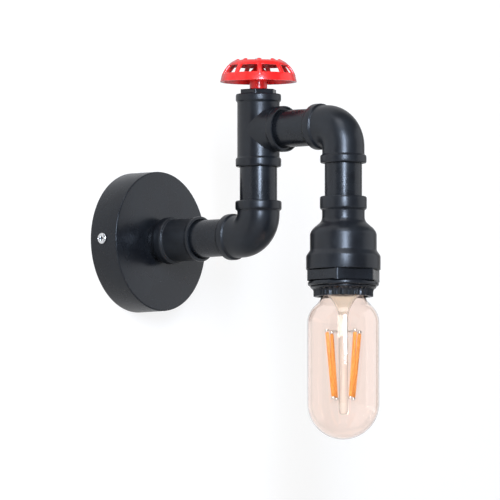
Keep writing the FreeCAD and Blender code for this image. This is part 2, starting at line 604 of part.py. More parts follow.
def bell_reducer():
    """The bell that widens from the pipe to the lampholder, with a stepped skirt at its foot."""
    seat = "pipe_radius + fit_clearance"
    skirt = "bell_skirt_radius"
    band = "bell_band"
    bell = turned("bell_reducer", [
        ("bell_thread_radius", "bell_foot"), (skirt + " - bell_foot_round", "bell_foot"),
        (skirt, "bell_foot + bell_foot_round", "bell_foot_round"), (skirt, "bell_skirt"),
        ("bell_step_radius", "bell_step_foot", "bell_skirt_curve"),
        ("bell_radius", "bell_step", "-bell_step_curve"), ("bell_radius", "bell_shoulder"),
        ("bell_throat_radius", "bell_throat", "bell_shoulder_curve"),
        ("fitting_radius", "bell_neck", "-bell_throat_curve"),
        ("fitting_radius", "bell_band_foot - band_round"), (band + " - band_round / 2", "bell_band_foot"),
        (band, "bell_band_foot + band_round"), (band, "bell_top - band_round"),
        (band + " - band_round", "bell_top", "band_round"), ("pipe_radius + mouth_gap", "bell_top"),
        ("pipe_radius + mouth_gap", "bell_top - mouth_depth"), (seat, "bell_top - mouth_depth"),
        (seat, "bell_socket"), ("pipe_bore", "bell_socket"), ("pipe_bore", "bell_bore_foot"),
        ("bell_radius - bell_wall", "bell_shoulder"), ("bell_radius - bell_wall", "bell_thread_top"),
        ("bell_thread_radius", "bell_thread_top")])
    node("bell_reducer", place(bell, y="-drop_out", z="lamp_height"))


def hex_bush():
    """The hexagonal bush screwed into the bell, with chamfered corners and a bore for the holder."""
    low = "bush_foot + bush_chamfer / 2"
    high = "bell_foot - bush_chamfer / 2"
    outside = turned("bush_outside", [
        ("0", "bush_foot"), ("bush_circle - bush_chamfer", "bush_foot"), ("bush_circle", low),
        ("bush_circle", high), ("bush_circle - bush_chamfer", "bell_foot"), ("0", "bell_foot")])
    bar = prism("bush_bar", "bush_circle", "bush_length", Rotation(Vector(0, 0, 1), 30), z="bush_foot")
    boss = rod("bush_boss", "bell_thread_radius - fit_clearance", "bush_thread", z="bell_foot")
    hole = rod("bush_hole", "holder_radius + fit_clearance", "bush_length + bush_thread", z="bush_foot")
    shape = cut("bush_cut", fuse("bush_solid", common("bush_head", bar, outside), boss), hole)
    node("hex_bush", place(group("hex_bush", [shape]), y="-drop_out", z="lamp_height"))


def lampholder():
    """The lampholder: a flanged metal body, a moulded liner, the screw shell and the contact."""
    lid = "holder_top - holder_lid"
    skirt_foot = "flange_foot - holder_skirt_length"
    body = turned("lampholder_body", [
        ("holder_inner", skirt_foot), ("holder_skirt", skirt_foot), ("holder_skirt", "flange_foot"),
        ("flange_radius - flange_round", "flange_foot"),
        ("flange_radius", "flange_foot + flange_round", "flange_round"),
        ("flange_radius", "bush_foot - flange_round"),
        ("flange_radius - flange_round", "bush_foot", "flange_round"), ("holder_radius", "bush_foot"),
        ("holder_radius", "holder_top"), ("holder_lid_hole", "holder_top"), ("holder_lid_hole", lid),
        ("holder_inner", lid)])
    node("lampholder_body", place(body, y="-drop_out", z="lamp_height"))
    top = "liner_floor + liner_crown"
    foot = "cap_foot + liner_lip"
    liner = turned("liner_solid", [
        ("liner_inner", foot), ("liner_outer", foot), ("liner_outer", top), ("liner_wire_hole", top),
        ("liner_wire_hole", "liner_floor"), ("liner_inner", "liner_floor")])
    wells = []
    screws = []
    for side in (-1, 1):
        across = "%d * terminal_offset" % side
        wells.append(rod("terminal_well_%d" % (side + 1), "terminal_radius", "liner_crown",
                         x=across, z="liner_floor"))
        one = screw("holder_screw_%d" % (side + 1), "terminal_radius", "terminal_bite",
                    "terminal_head", "terminal_rise")
        screws.append(place(one, x=across, z=top))
    shape = cut("liner_cut", liner, *wells)
    node("holder_liner", place(group("holder_liner", [shape]), y="-drop_out", z="lamp_height"))
    node("holder_screws", place(group("holder_screws", screws), y="-drop_out", z="lamp_height"))
    inner = "shell_outer - shell_sheet"
    low = "cap_foot + shell_lip"
    high = "cap_foot + shell_lip + shell_length"
    shell = turned("screw_shell", ring_outline(inner, "shell_outer", low, high))
    node("screw_shell", place(shell, y="-drop_out", z="lamp_height"))
    tongue = box("tongue_strip", "tongue_length", "tongue_width", "tongue_sheet",
                 x="-tongue_length / 2", y="-tongue_width / 2", z="contact_top + contact_gap")
    node("centre_contact", place(group("centre_contact", [tongue]), y="-drop_out", z="lamp_height"))


def fluted_ring():
    """The ring that turns on the holder's skirt, flared at its top and fluted for the fingers."""
    bore = "holder_skirt + ring_clearance"
    wall = "ring_top - ring_top_rim"
    low = "ring_top - ring_flare_drop - ring_top_rim"
    ring = turned("ring_blank", [
        ("ring_lip", "ring_foot"), ("ring_radius", "ring_foot"), ("ring_radius", low),
        ("ring_flare", wall, "-ring_flare_curve"), ("ring_flare", "ring_top"), (bore, "ring_top"),
        (bore, "ring_foot + ring_lip_sheet"), ("ring_lip", "ring_foot + ring_lip_sheet")])
    grooves = []
    for number in range(COUNTS["flutes"]):
        angle = 2.0 * math.pi / COUNTS["flutes"] * (number + 0.5)
        far = "ring_radius + flute_radius - flute_bite"
        groove = rod("flute_%d" % number, "flute_radius", "ring_length - ring_top_rim - ring_flare_drop",
                     z="ring_foot")
        for letter, part in (("x", math.cos(angle)), ("y", math.sin(angle))):
            groove.setExpression("Placement.Base." + letter, bound("(%s) * %.9f" % (far, part)))
        grooves.append(groove)
    shape = cut("ring_cut", ring, group("ring_flutes", grooves))
    node("fluted_ring", place(group("fluted_ring", [shape]), y="-drop_out", z="lamp_height"))


def turn_about(thing, turn):
    """Turns a finished piece about the bulb's own axis."""
    thing.Placement = FreeCAD.Placement(Vector(), turn)
    return thing


def bulb_at(name, thing):
    """Seats a piece of the bulb: its own origin is the rim of the cap."""
    holder = group(name, [thing])
    holder.setExpression("Placement.Base.z", bound("lamp_height + cap_foot"))
    holder.setExpression("Placement.Base.y", bound("-drop_out"))
    return node(name, holder)


def bulb_cap():
    """The screw cap: a skirt, rounded thread turns, an insulating cone and the tip contact."""
    inner = "cap_radius - cap_groove - cap_sheet"
    outline = [(inner, "0"), ("cap_radius", "0"), ("cap_radius", "cap_skirt")]
    for turn in range(COUNTS["cap_threads"]):
        base = "cap_skirt + %d * cap_turn" % turn
        outline.append(("cap_radius - cap_groove", base + " + cap_turn / 2"))
        outline.append(("cap_radius", base + " + cap_turn"))
    outline += [("cap_cone", "cap_cone_height"), ("cap_cone - cap_sheet", "cap_cone_height"),
                (inner, "cap_threads_top")]
    bulb_at("bulb_cap", turned("cap_shell", outline))
    insulator = turned("cap_cone_glass", [
        ("0", "cap_threads_top"), ("cap_glass", "cap_threads_top"), ("cap_cone - cap_sheet", "cap_cone_height"),
        ("cap_glass", "cap_glass_height"), ("0", "cap_glass_height")])
    bulb_at("cap_insulator", insulator)
    tip = turned("cap_tip", [
        ("0", "cap_glass_height"), ("cap_contact", "cap_glass_height"),
        ("cap_contact * 2 / 3", "cap_height"), ("0", "cap_height")])
    bulb_at("bulb_contact", tip)


def bulb_glass():
    """A tubular bulb of clear glass: neck, shoulder, straight side and a round end."""
    full = "bulb_radius"
    start = "bulb_radius - bulb_length"
    inner = "bulb_radius - glass_wall"
    glass = turned("glass_shell", [
        ("0", "-bulb_length"), (full, start, "bulb_radius"), (full, "-bulb_shoulder"),
        ("neck_radius_low", "-neck_drop", "shoulder_curve"), ("neck_root", "0", "-neck_curve"),
        ("neck_root - glass_wall", "0"),
        ("neck_radius_low - glass_wall * 2 / 3", "-neck_drop - glass_wall * 2 / 3", "neck_curve"),
        (inner, "-bulb_shoulder", "-shoulder_curve"), (inner, start),
        ("0", "glass_wall - bulb_length", "-bulb_radius")])
    bulb_at("bulb_glass", glass)


def bulb_inside():
    """The glass stem, and four straight filaments that lean in, each held by a wired clip at both ends."""
    flare = "neck_root - glass_wall - flare_clearance"
    stem = turned("stem_glass_solid", [
        ("0", "-stem_length"), ("stem_glass", "-stem_length"), ("stem_glass", "-stem_shoulder"),
        (flare, "-glass_wall"), (flare, "0"), ("0", "0")])
    bulb_at("bulb_stem", stem)
    strips = []
    clips = []
    for number in range(COUNTS["filaments"]):
        angle = value("filament_start") + 360.0 / COUNTS["filaments"] * number
        around = Rotation(Vector(0, 0, 1), angle)
        lean = Rotation(Vector(0, 1, 0), 180 + value("filament_lean"))
        for letter, out, down in (("top", "filament_top_out", "filament_top"),
                                  ("foot", "filament_foot_out", "filament_foot")):
            wire = rod("wire_%s_%d" % (letter, number), "wire_radius",
                       out + " - clip_inward / 2 - stem_glass", ALONG,
                       x="stem_glass", z="-%s - clip_downward / 2" % down)
            clip = rod("clip_%s_%d" % (letter, number), "filament_clip", "clip_length", lean,
                       x=out, z="-" + down)
            if letter == "top":
                strip = rod("filament_%d" % number, "filament_radius", "filament_length", lean,
                            x="filament_top_out - clip_inward", z="-filament_top - clip_downward")
                strips.append(turn_about(group("filament_at_%d" % number, [strip]), around))
            clips.append(turn_about(fuse("held_%s_%d" % (letter, number), wire, clip), around))
    bulb_at("filaments", group("filament_set", strips))
    bulb_at("filament_wires", group("wire_set", clips))


def check():
    """Stops if any object failed or any sub-part has no sound solid."""
    for thing in doc.Objects:
        if "Invalid" in thing.State or "Error" in thing.State:
            raise RuntimeError("%s failed: %s" % (thing.Name, thing.State))
    for name, thing in EXPORTED.items():
        shape = thing.Shape
        if shape.isNull() or not shape.isValid() or not shape.Solids:
            raise RuntimeError("%s has no sound solid" % name)


def export():
    """Writes each sub-part and says how many solids it has."""
    os.makedirs("parts", exist_ok=True)
    for name, thing in EXPORTED.items():
        thing.Shape.exportStep("parts/%s.step" % name)
        print("%-18s solids %d volume %9.1f mm3" % (name, len(thing.Shape.Solids), thing.Shape.Volume))


fill_sheet()
canopy()
wall_bracket()
earthing()
terminal_block()
stem_and_collar()
wall_coupling()
pipes()
elbows()
tee()
hex_plug()
spindle()
handwheel()
bell_reducer()
hex_bush()
lampholder()
fluted_ring()
bulb_cap()
bulb_glass()
bulb_inside()
doc.recompute()
check()
export()
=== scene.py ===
# %% [markdown]
# A wall light made of threaded pipe: a canopy, fittings, a tap handwheel, a lampholder and a bulb.
# The measured model is loaded first, as a fixed frame. Everything below dresses it and moves nothing.

# %% Load the frame
import math

import bmesh
import bpy
import numpy as np
from mathutils import Matrix, Vector


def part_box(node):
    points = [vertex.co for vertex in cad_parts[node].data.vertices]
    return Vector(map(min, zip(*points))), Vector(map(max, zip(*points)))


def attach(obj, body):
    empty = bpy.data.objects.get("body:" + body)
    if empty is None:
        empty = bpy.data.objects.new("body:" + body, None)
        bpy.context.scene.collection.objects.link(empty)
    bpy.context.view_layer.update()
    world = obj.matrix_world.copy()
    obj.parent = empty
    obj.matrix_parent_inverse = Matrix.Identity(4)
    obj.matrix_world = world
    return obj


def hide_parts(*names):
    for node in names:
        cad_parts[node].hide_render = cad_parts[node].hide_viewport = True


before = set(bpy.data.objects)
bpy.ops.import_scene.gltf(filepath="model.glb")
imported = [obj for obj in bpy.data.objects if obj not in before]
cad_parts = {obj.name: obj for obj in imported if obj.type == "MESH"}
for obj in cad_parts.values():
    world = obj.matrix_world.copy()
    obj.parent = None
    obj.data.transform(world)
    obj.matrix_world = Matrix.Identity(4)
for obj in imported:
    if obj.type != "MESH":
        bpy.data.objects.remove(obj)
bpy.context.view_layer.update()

MM = 0.001
AROUND = 96
print("nodes:", len(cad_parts))

# %% [markdown]
# The camera looks at the light from its left and a little from below, with no perspective, so pipes
# near and far are equally wide. One point of the light lies in the middle of the picture.

# %% Camera
AZIMUTH = math.radians(-49.87)
ELEVATION = math.radians(-4.15)
PICTURE_WIDTH = 0.3125
PICTURE_MIDDLE = Vector((46.36, -54.51, -4.40)) * MM
CAMERA_DISTANCE = 1.5

right = Vector((math.cos(AZIMUTH), math.sin(AZIMUTH), 0.0))
back = Vector((math.sin(AZIMUTH) * math.cos(ELEVATION),
               -math.cos(AZIMUTH) * math.cos(ELEVATION), math.sin(ELEVATION)))
up = back.cross(right)
camera_data = bpy.data.cameras.new("camera")
camera_data.type = "ORTHO"
camera_data.ortho_scale = PICTURE_WIDTH
camera = bpy.data.objects.new("camera", camera_data)
camera.matrix_world = Matrix((right, up, back)).transposed().to_4x4()
camera.location = PICTURE_MIDDLE + back * CAMERA_DISTANCE
bpy.context.scene.collection.objects.link(camera)
bpy.context.scene.camera = camera
print("camera at", tuple(round(v, 4) for v in camera.location))

# %% [markdown]
# Turned parts come off a lathe, so their surface is a profile carried round an axis. The profile is a
# few corners in millimetres, each rounded by a small radius, as a casting's or a turned edge is.


# %% Profiles
def rounded(corners, radius=0.35, steps=4, closed=True):
    """Rounds each corner of a flat outline: p(t) is a quadratic curve from side to side of the corner.

    A corner (r, z, s) has its own radius s, and its curve leaves each side at s from the corner, or
    at just under half of a shorter side.
    """
    points = np.array([corner[:2] for corner in corners], float)
    sizes = np.array([corner[2] if len(corner) > 2 else radius for corner in corners], float)
    before = np.roll(points, 1, axis=0) - points
    after = np.roll(points, -1, axis=0) - points
    reach_before = np.minimum(sizes, 0.49 * np.linalg.norm(before, axis=1))
    reach_after = np.minimum(sizes, 0.49 * np.linalg.norm(after, axis=1))
    enter = points + before * (reach_before / np.linalg.norm(before, axis=1))[:, None]
    leave = points + after * (reach_after / np.linalg.norm(after, axis=1))[:, None]
    if not closed:
        enter[0], leave[0] = points[0], points[0]
        enter[-1], leave[-1] = points[-1], points[-1]
    t = np.linspace(0.0, 1.0, steps)[None, :, None]
    curve = (enter[:, None] * (1 - t) ** 2 + points[:, None] * 2 * t * (1 - t) + leave[:, None] * t ** 2)
    return curve.reshape(-1, 2)


def ring_angles(count=AROUND):
    """Evenly spaced angles once round the axis."""
    return np.linspace(0.0, 2.0 * np.pi, count, endpoint=False)


def lathe_points(profile, count=AROUND):
    """x = r cos a, y = r sin a, z = z: one row of points for each profile point."""
    angle = ring_angles(count)
    radius, height = profile[:, 0][:, None], profile[:, 1][:, None]
    return np.stack([radius * np.cos(angle), radius * np.sin(angle), height + 0.0 * angle], axis=-1)


print("a square with rounded corners has", len(rounded([(0, 0), (9, 0), (9, 9), (0, 9)])), "points")

# %% [markdown]
# A grid of points becomes a mesh of four-sided faces. The local upright axis is then turned to lie
# along the part's own axis: up, straight out of the wall, or to either side.

# %% Grids into pieces
TURNS = {
    "up": np.eye(3),
    "out": np.array([[1, 0, 0], [0, 0, -1], [0, 1, 0]], float),
    "left": np.array([[0, 0, -1], [0, 1, 0], [1, 0, 0]], float),
    "right": np.array([[0, 0, 1], [0, 1, 0], [-1, 0, 0]], float),
}


def seated(points, turn="up", at=(0.0, 0.0, 0.0)):
    """Turns local millimetre points and moves them to their place, in metres."""
    return (points @ TURNS[turn].T + np.array(at, float)) * MM


def grid_mesh(name, grids, sharp=38.0):
    """A mesh from grids that wrap round sideways; closed ones wrap lengthwise too.

    Each entry is (points of shape (rows, columns, 3), whether the last row meets the first). Rows that
    shrink to a point are merged, which closes the poles, and edges bent by more than sharp stay crisp.
    """
    vertices, faces, start = [], [], 0
    for points, closed in grids:
        rows, columns = points.shape[:2]
        index = np.arange(rows * columns).reshape(rows, columns) + start
        low = index if closed else index[:-1]
        high = np.roll(index, -1, axis=0) if closed else index[1:]
        faces.append(np.stack([low, np.roll(low, -1, axis=1), np.roll(high, -1, axis=1), high],
                              axis=-1).reshape(-1, 4))
        vertices.append(points.reshape(-1, 3))
        start += rows * columns
    mesh = bpy.data.meshes.new(name)
    mesh.from_pydata(np.concatenate(vertices).tolist(), [], np.concatenate(faces).tolist())
    tidy = bmesh.new()
    tidy.from_mesh(mesh)
    bmesh.ops.remove_doubles(tidy, verts=tidy.verts, dist=2e-7)
    bmesh.ops.dissolve_degenerate(tidy, edges=tidy.edges, dist=1e-8)
    bmesh.ops.recalc_face_normals(tidy, faces=tidy.faces)
    tidy.to_mesh(mesh)
    tidy.free()
    mesh.polygons.foreach_set("use_smooth", np.ones(len(mesh.polygons), bool))
    mesh.set_sharp_from_angle(angle=math.radians(sharp))
    return mesh


def add_piece(name, mesh, body, *nodes):
    """Puts a finished mesh in the scene, rides it on its body and lets it stand for CAD nodes."""
    piece = bpy.data.objects.new(name, mesh)
    bpy.context.scene.collection.objects.link(piece)
    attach(piece, body)
    if nodes:
        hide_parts(*nodes)
    print(name, "faces", len(mesh.polygons))


def turned_piece(name, node, body, corners, turn="up", at=(0, 0, 0), radius=0.35, count=AROUND):
    """A closed turned solid from an outline of corners in millimetres."""
    points = lathe_points(rounded(corners, radius), count)
    add_piece(name, grid_mesh(name, [(seated(points, turn, at), True)]), body, node)


print("turned pieces can point", ", ".join(TURNS))

# %% [markdown]
# Where the fittings are comes from the frame: the riser's and the drop's distance from the wall, the
# height of the tee's branch, and the ends of the pipes.

# %% Places from the frame
def span(node, axis):
    """A node's lowest and highest coordinate along one axis, in millimetres."""
    low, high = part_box(node)
    return low[axis] / MM, high[axis] / MM


riser_out = -sum(span("riser_pipe", 1)) / 2
drop_out = -sum(span("drop_pipe", 1)) / 2
tee_height = sum(span("branch_nipple", 2)) / 2
canopy_depth = -span("canopy", 1)[0]
coupling_end, coupling_start = (-v for v in span("wall_coupling", 1))
pipe_left, pipe_right = span("riser_pipe", 0)
pipe_radius = (pipe_right - pipe_left) / 2
plug_seat = span("tee", 2)[1]
wheel_seat = span("handwheel", 2)[0]
print("riser", riser_out, "drop", drop_out, "tee", tee_height, "pipe", pipe_radius)

# %% [markdown]
# The canopy is spun from sheet steel over a form: a shallow cup with a soft outer edge. It is made as
# one closed profile, wall and all, so the open back shows its real thickness.

# %% Canopy
CANOPY_RADIUS = span("canopy", 0)[1]
SHEET = 1.2
STEM_HOLE = 5.05
turned_piece("canopy_shell", "canopy", "light", [
    (CANOPY_RADIUS - SHEET, 0.0), (CANOPY_RADIUS, 0.0), (CANOPY_RADIUS, canopy_depth, 0.9),
    (STEM_HOLE, canopy_depth, 0.1), (STEM_HOLE, canopy_depth - SHEET, 0.1),
    (CANOPY_RADIUS - SHEET, canopy_depth - SHEET, 0.9)], turn="out", count=160)

# %% [markdown]
# Two cross-recessed screws hold the canopy's sides. A screw's head is a shallow dome, and the recess is
# pressed in as a cross. A height field over a round grid gives both: dome minus cross-shaped pit.

# %% Side screws
SCREW_OUT = -sum(span("canopy_screws", 1)) / 2
SCREW_HEAD = 3.45
SCREW_SHANK = 1.9
SCREW_RISE = 1.7
SCREW_LENGTH = 6.5
SCREW_AROUND = 72
HEAD_RINGS = 26
DOME_FALL = 0.62
PIT_STEEPNESS = 14.0


def crossed_head(radius, rise, arm=0.45, reach=1.5, depth=1.5):
    """z = rise (1 - fall (q / radius)^4) - depth * cross, at the distance q from the middle.

    The cross is 1 inside either arm and 0 outside both, with a soft step between.
    """
    q = radius * np.linspace(0.0, 1.0, HEAD_RINGS)[:, None]
    angle = ring_angles(SCREW_AROUND)[None, :]
    x, y = q * np.cos(angle), q * np.sin(angle)
    dome = rise * (1.0 - DOME_FALL * (q / radius) ** 4)

    def soft(distance, edge):
        """1 / (1 + e^(steepness (|distance| - edge))): from 1 within the edge to 0 beyond it."""
        return 1.0 / (1.0 + np.exp((np.abs(distance) - edge) * PIT_STEEPNESS))

    cross = np.maximum(soft(x, arm) * soft(y, reach), soft(y, arm) * soft(x, reach))
    return np.stack([x, y, dome - depth * cross], axis=-1)


def side_screw(turn, side):
    """The domed head, its cylindrical edge and the shank behind it."""
    head = crossed_head(SCREW_HEAD, SCREW_RISE)
    skirt = lathe_points(np.array([(SCREW_HEAD, head[-1, 0, 2]), (SCREW_HEAD, 0.0), (SCREW_SHANK, 0.0),
                                   (SCREW_SHANK, -SCREW_LENGTH), (0.0, -SCREW_LENGTH)]), SCREW_AROUND)
    at = (side * CANOPY_RADIUS, -SCREW_OUT, 0.0)
    return [(seated(head, turn, at), False), (seated(skirt, turn, at), False)]


screw_mesh = grid_mesh("side_screws", side_screw("left", -1) + side_screw("right", 1), sharp=50.0)
add_piece("side_screws", screw_mesh, "light", "canopy_screws")

# %% [markdown]
# The collar and the first coupling. Cast fittings have a thick rounded band at each mouth, where the
# thread is cut, and a plain body between. The bands' corners are well rounded by the sand mould. Inside
# each mouth a small ledge runs round the pipe, and the thread seat and the bore lie behind it.

# %% Collar and coupling
BODY = 13.25
SEAT = pipe_radius + 0.04
BORE = 9.4
MOUTH = 12.4
LEDGE = 1.6
turned_piece("collar", "canopy_collar", "light", [
    (STEM_HOLE, canopy_depth), (MOUTH, canopy_depth), (MOUTH, coupling_start), (STEM_HOLE, coupling_start)],
    turn="out", radius=0.2)
length = coupling_end - coupling_start
turned_piece("coupling", "wall_coupling", "light", [
    (STEM_HOLE, 0.0, 0.1), (14.0, 0.0, 0.6), (14.25, 1.6, 0.6), (14.7, 2.2, 0.5), (14.7, 6.6, 1.2),
    (14.2, 7.8, 0.5), (BODY, 8.0, 0.7), (BODY, length - 3.1, 0.7), (14.2, length - 2.7, 0.9),
    (14.2, length, 1.3), (MOUTH, length, 0.3), (MOUTH, length - LEDGE), (SEAT, length - LEDGE),
    (SEAT, 13.5), (BORE, 13.5), (BORE, 7.5), (STEM_HOLE, 7.5, 0.1)], turn="out", at=(0, -coupling_start, 0))


# %% [markdown]
# Plain pipe is a smooth tube. Its ends are hidden in the fittings.

# %% Pipes
def pipe_piece(name, node, axis, at, turn):
    """A tube between the node's own ends."""
    low, high = span(node, axis)
    start, end = (-high, -low) if turn == "out" else (low, high)
    turned_piece(name, node, "light", [(BORE, start), (pipe_radius, start), (pipe_radius, end), (BORE, end)],
                 turn=turn, at=at, radius=0.2)


pipe_piece("nipple_tube", "wall_nipple", 1, (0, 0, 0), "out")
pipe_piece("riser_tube", "riser_pipe", 2, (0, -riser_out, 0), "up")
pipe_piece("branch_tube", "branch_nipple", 1, (0, 0, tee_height), "out")
pipe_piece("drop_tube", "drop_pipe", 2, (0, -drop_out, 0), "up")

# %% [markdown]
# An elbow is a circle carried along a path: a straight leg, a tight quarter turn and another leg. The
# circle's radius changes along the way, which gives the bands at the mouths, and the inner surface runs
# back the same way, so the whole fitting is one closed skin.

# %% Elbows
BEND = 13.6
BEND_STEPS = 28
ELBOW_BAND = 14.5
SEAT_END = 14.6


def leg_profile(reach, width):
    """Outline along one leg, from the bend out over the band, round the mouth and back inside."""
    corners = [(BODY, BEND), (BODY, reach - width - 0.35, 0.8), (ELBOW_BAND, reach - width + 0.25, 0.9),
               (ELBOW_BAND, reach, 1.3), (MOUTH, reach, 0.3), (MOUTH, reach - LEDGE), (SEAT, reach - LEDGE),
               (SEAT, SEAT_END), (BORE, SEAT_END), (BORE, BEND)]
    return rounded(corners, closed=False)


def bend_points(radius):
    """x = B - (B + r cos a) sin t, y = r sin a, z = B - (B + r cos a) cos t, with B the bend's radius.

    The angle a goes round the pipe, and t goes a quarter turn round the bend's centre.
    """
    turn = np.linspace(0.0, np.pi / 2, BEND_STEPS)[:, None]
    angle = ring_angles()[None, :]
    away = BEND + radius * np.cos(angle)
    return np.stack([BEND - away * np.sin(turn), radius * np.sin(angle) + 0.0 * turn,
                     BEND - away * np.cos(turn)], axis=-1)


def leg_points(profile, along):
    """The leg's circles, with the same starting point of each circle as the bend's."""
    angle = ring_angles()[None, :]
    radius, run = profile[:, 0][:, None], profile[:, 1][:, None]
    across, side = -radius * np.cos(angle), radius * np.sin(angle)
    if along == "x":
        return np.stack([run + 0.0 * angle, side, across], axis=-1)
    return np.stack([across, side, run + 0.0 * angle], axis=-1)


def elbow_piece(name, node, first, first_width, second, second_width, matrix, at):
    """Both legs and the outer and inner bend as one closed skin."""
    one = leg_profile(first, first_width)
    two = leg_profile(second, second_width)
    strip = np.concatenate([bend_points(BODY), leg_points(two, "z"), bend_points(BORE)[::-1],
                            leg_points(one, "x")[::-1]])
    points = (strip @ np.array(matrix, float).T + np.array(at, float)) * MM
    add_piece(name, grid_mesh(name, [(points, True)]), "light", node)


elbow_piece("elbow_low", "lower_elbow", 23.84, 5.1, 21.6, 5.7,
            [[0, -1, 0], [1, 0, 0], [0, 0, 1]], (0, -riser_out, 0))
elbow_piece("elbow_high", "upper_elbow", 22.5, 5.7, 23.84, 5.1,
            [[0, 1, 0], [1, 0, 0], [0, 0, -1]], (0, -drop_out, tee_height))

# %% [markdown]
# The tee is cast in one, so its branch flows out of the run with a soft fillet. The branch's surface is
# a tube whose radius swells as it nears the run's round side, which draws that fillet.

# %% Tee
TEE_BRANCH = BODY - 0.03
BRANCH_START = 0.4
BRANCH_PLAIN = 16.5
BRANCH_ROWS = 60
BRANCH_REACH = 22.4
FILLET = 1.1
FILLET_REACH = 3.2


def tee_run():
    """The upright run with a band at each end, as a closed turned solid."""
    top, foot = 22.75, 22.9
    return rounded([
        (BORE, -SEAT_END), (SEAT, -SEAT_END), (SEAT, LEDGE - foot), (MOUTH, LEDGE - foot),
        (MOUTH, -foot, 0.3), (14.25, -foot, 1.3), (14.25, 5.2 - foot, 0.9), (BODY, 5.8 - foot, 0.8),
        (BODY, top - 5.0, 0.8), (14.2, top - 4.4, 0.9), (14.2, top, 1.3), (MOUTH, top, 0.3),
        (MOUTH, top - LEDGE), (SEAT, top - LEDGE), (SEAT, SEAT_END), (BORE, SEAT_END)])


def tee_branch_points():
    """radius = plain + fillet * (1 - gap / reach)^2 * sin(angle)^2, gap being the distance from the run.

    The sine leaves out the fillet at the sides, where the two tubes are tangent and no corner is left.
    """
    reach = BRANCH_REACH
    corners = rounded([(TEE_BRANCH, BRANCH_START), (TEE_BRANCH, reach - 5.3, 0.8), (14.4, reach - 4.6, 0.9),
                       (14.4, reach, 1.2), (13.3, reach, 0.2), (13.3, reach - LEDGE), (SEAT, reach - LEDGE),
                       (SEAT, SEAT_END), (BORE, SEAT_END), (BORE, 6.0)], closed=False)
    body = np.stack([np.full(BRANCH_ROWS, TEE_BRANCH), np.linspace(BRANCH_START, BRANCH_PLAIN, BRANCH_ROWS)],
                    axis=1)
    past_body = np.argmax(corners[:, 1] > BRANCH_PLAIN)
    outline = np.concatenate([body, corners[past_body:]])
    angle = ring_angles()[None, :]
    radius, run = outline[:, 0][:, None] + 0.0 * angle, outline[:, 1][:, None] + 0.0 * angle
    gap = np.hypot(radius * np.cos(angle), run) - BODY
    swell = FILLET * np.clip(1.0 - np.abs(gap) / FILLET_REACH, 0.0, 1.0) ** 2
    radius[:BRANCH_ROWS] += (swell * np.sin(angle) ** 2)[:BRANCH_ROWS]
    return np.stack([radius * np.cos(angle), radius * np.sin(angle), run], axis=-1)


tee_mesh = grid_mesh("tee_body", [
    (seated(lathe_points(tee_run()), "up", (0, -riser_out, tee_height)), True),
    (seated(tee_branch_points(), "out", (0, -riser_out, tee_height)), True)])
add_piece("tee_body", tee_mesh, "light", "tee")

# %% [markdown]
# The plug and the bush are hexagonal bar stock, faced and relieved in the lathe. A six-sided radius gives
# the flats, a slightly smaller circle takes the edge off the corners, and a cone undercuts the end faces
# at the corners: the smallest of the three holds at every point.


# %% Hexagons
HEXAGON_ROWS = 10
HEXAGON_AROUND = 180
CORNER_ROUNDING = 0.175


def hexagon_points(circle, low, high, relief, bore):
    """radius = the smallest of side / cos(a), circle - rounding and circle - 2 drop; flats face +X and -X.

    The angle a is measured from the middle of the nearest flat. The drop eases from half the relief to
    nothing, and also sets each row's distance from its end face.
    """
    angle = ring_angles(HEXAGON_AROUND)[None, :]
    side = circle * math.cos(math.pi / 6)
    folded = np.mod(angle + np.pi / 6, np.pi / 3) - np.pi / 6
    flat = np.minimum(side / np.cos(folded), circle - CORNER_ROUNDING)
    drop = relief * 0.5 * (1.0 - np.sin(np.linspace(0.0, np.pi / 2, HEXAGON_ROWS))[:, None])
    height = np.concatenate([low + drop, high - drop[::-1]])
    height[0], height[-1] = low, high
    radius = np.minimum(flat, np.concatenate([circle - 2.0 * drop, circle - 2.0 * drop[::-1]]))
    outer = np.stack([radius * np.cos(angle), radius * np.sin(angle), height + 0.0 * angle], axis=-1)
    return np.concatenate([outer, lathe_points(np.array([(bore, high), (bore, low)]), HEXAGON_AROUND)])


def bar_hexagon(name, node, circle, low, high, relief, bore, at, thread):
    """A hexagon on the frame's own place, with the turned threaded part that belongs to it."""
    grids = [(seated(hexagon_points(circle, low, high, relief, bore), "up", at), True),
             (seated(lathe_points(rounded(thread, 0.2)), "up", at), True)]
    add_piece(name, grid_mesh(name, grids, sharp=45.0), "light", node)


lamp_at = (0, -drop_out, 0)
bar_hexagon("plug_hexagon", "hex_plug", 11.9, 0.0, 2.8, 0.9, 3.05, (0, -riser_out, plug_seat),
            [(4.2, -8.0), (pipe_radius, -8.0), (pipe_radius, 0.0), (3.05, 0.0), (3.05, -6.0), (4.2, -6.0)])
bar_hexagon("bush_hexagon", "hex_bush", 24.2, -32.1, -24.9, 1.3, 17.19, lamp_at,
            [(17.19, -24.9), (20.26, -24.9), (20.26, -14.9), (17.19, -14.9)])

# %% [markdown]
# The bell reducer widens from the pipe to the lampholder. Its flare is an S-curve: hollow below the
# neck, full at the shoulder. The skirt at its foot steps out in a small flare of its own.

# %% Bell
BELL = [
    (20.3, -24.9), (23.3, -24.9, 0.6), (23.3, -16.3, 0.6), (22.7, -15.2, 0.7), (20.9, -12.7, 0.8),
    (20.9, -2.5, 0.9), (20.3, -0.8, 1.2), (18.9, 1.1, 1.2), (16.8, 2.9, 1.2), (14.5, 4.8, 1.4),
    (13.45, 6.8, 1.2), (13.35, 8.6, 0.8), (13.35, 12.6, 0.7), (14.7, 13.5, 1.0), (14.7, 21.2, 1.5),
    (MOUTH, 21.2, 0.3), (MOUTH, 19.6), (SEAT, 19.6), (SEAT, 12.2), (BORE, 12.2), (BORE, 9.0),
    (18.7, -3.3), (18.7, -13.0), (20.3, -13.0)]
turned_piece("bell", "bell_reducer", "light", BELL, at=lamp_at, count=128)

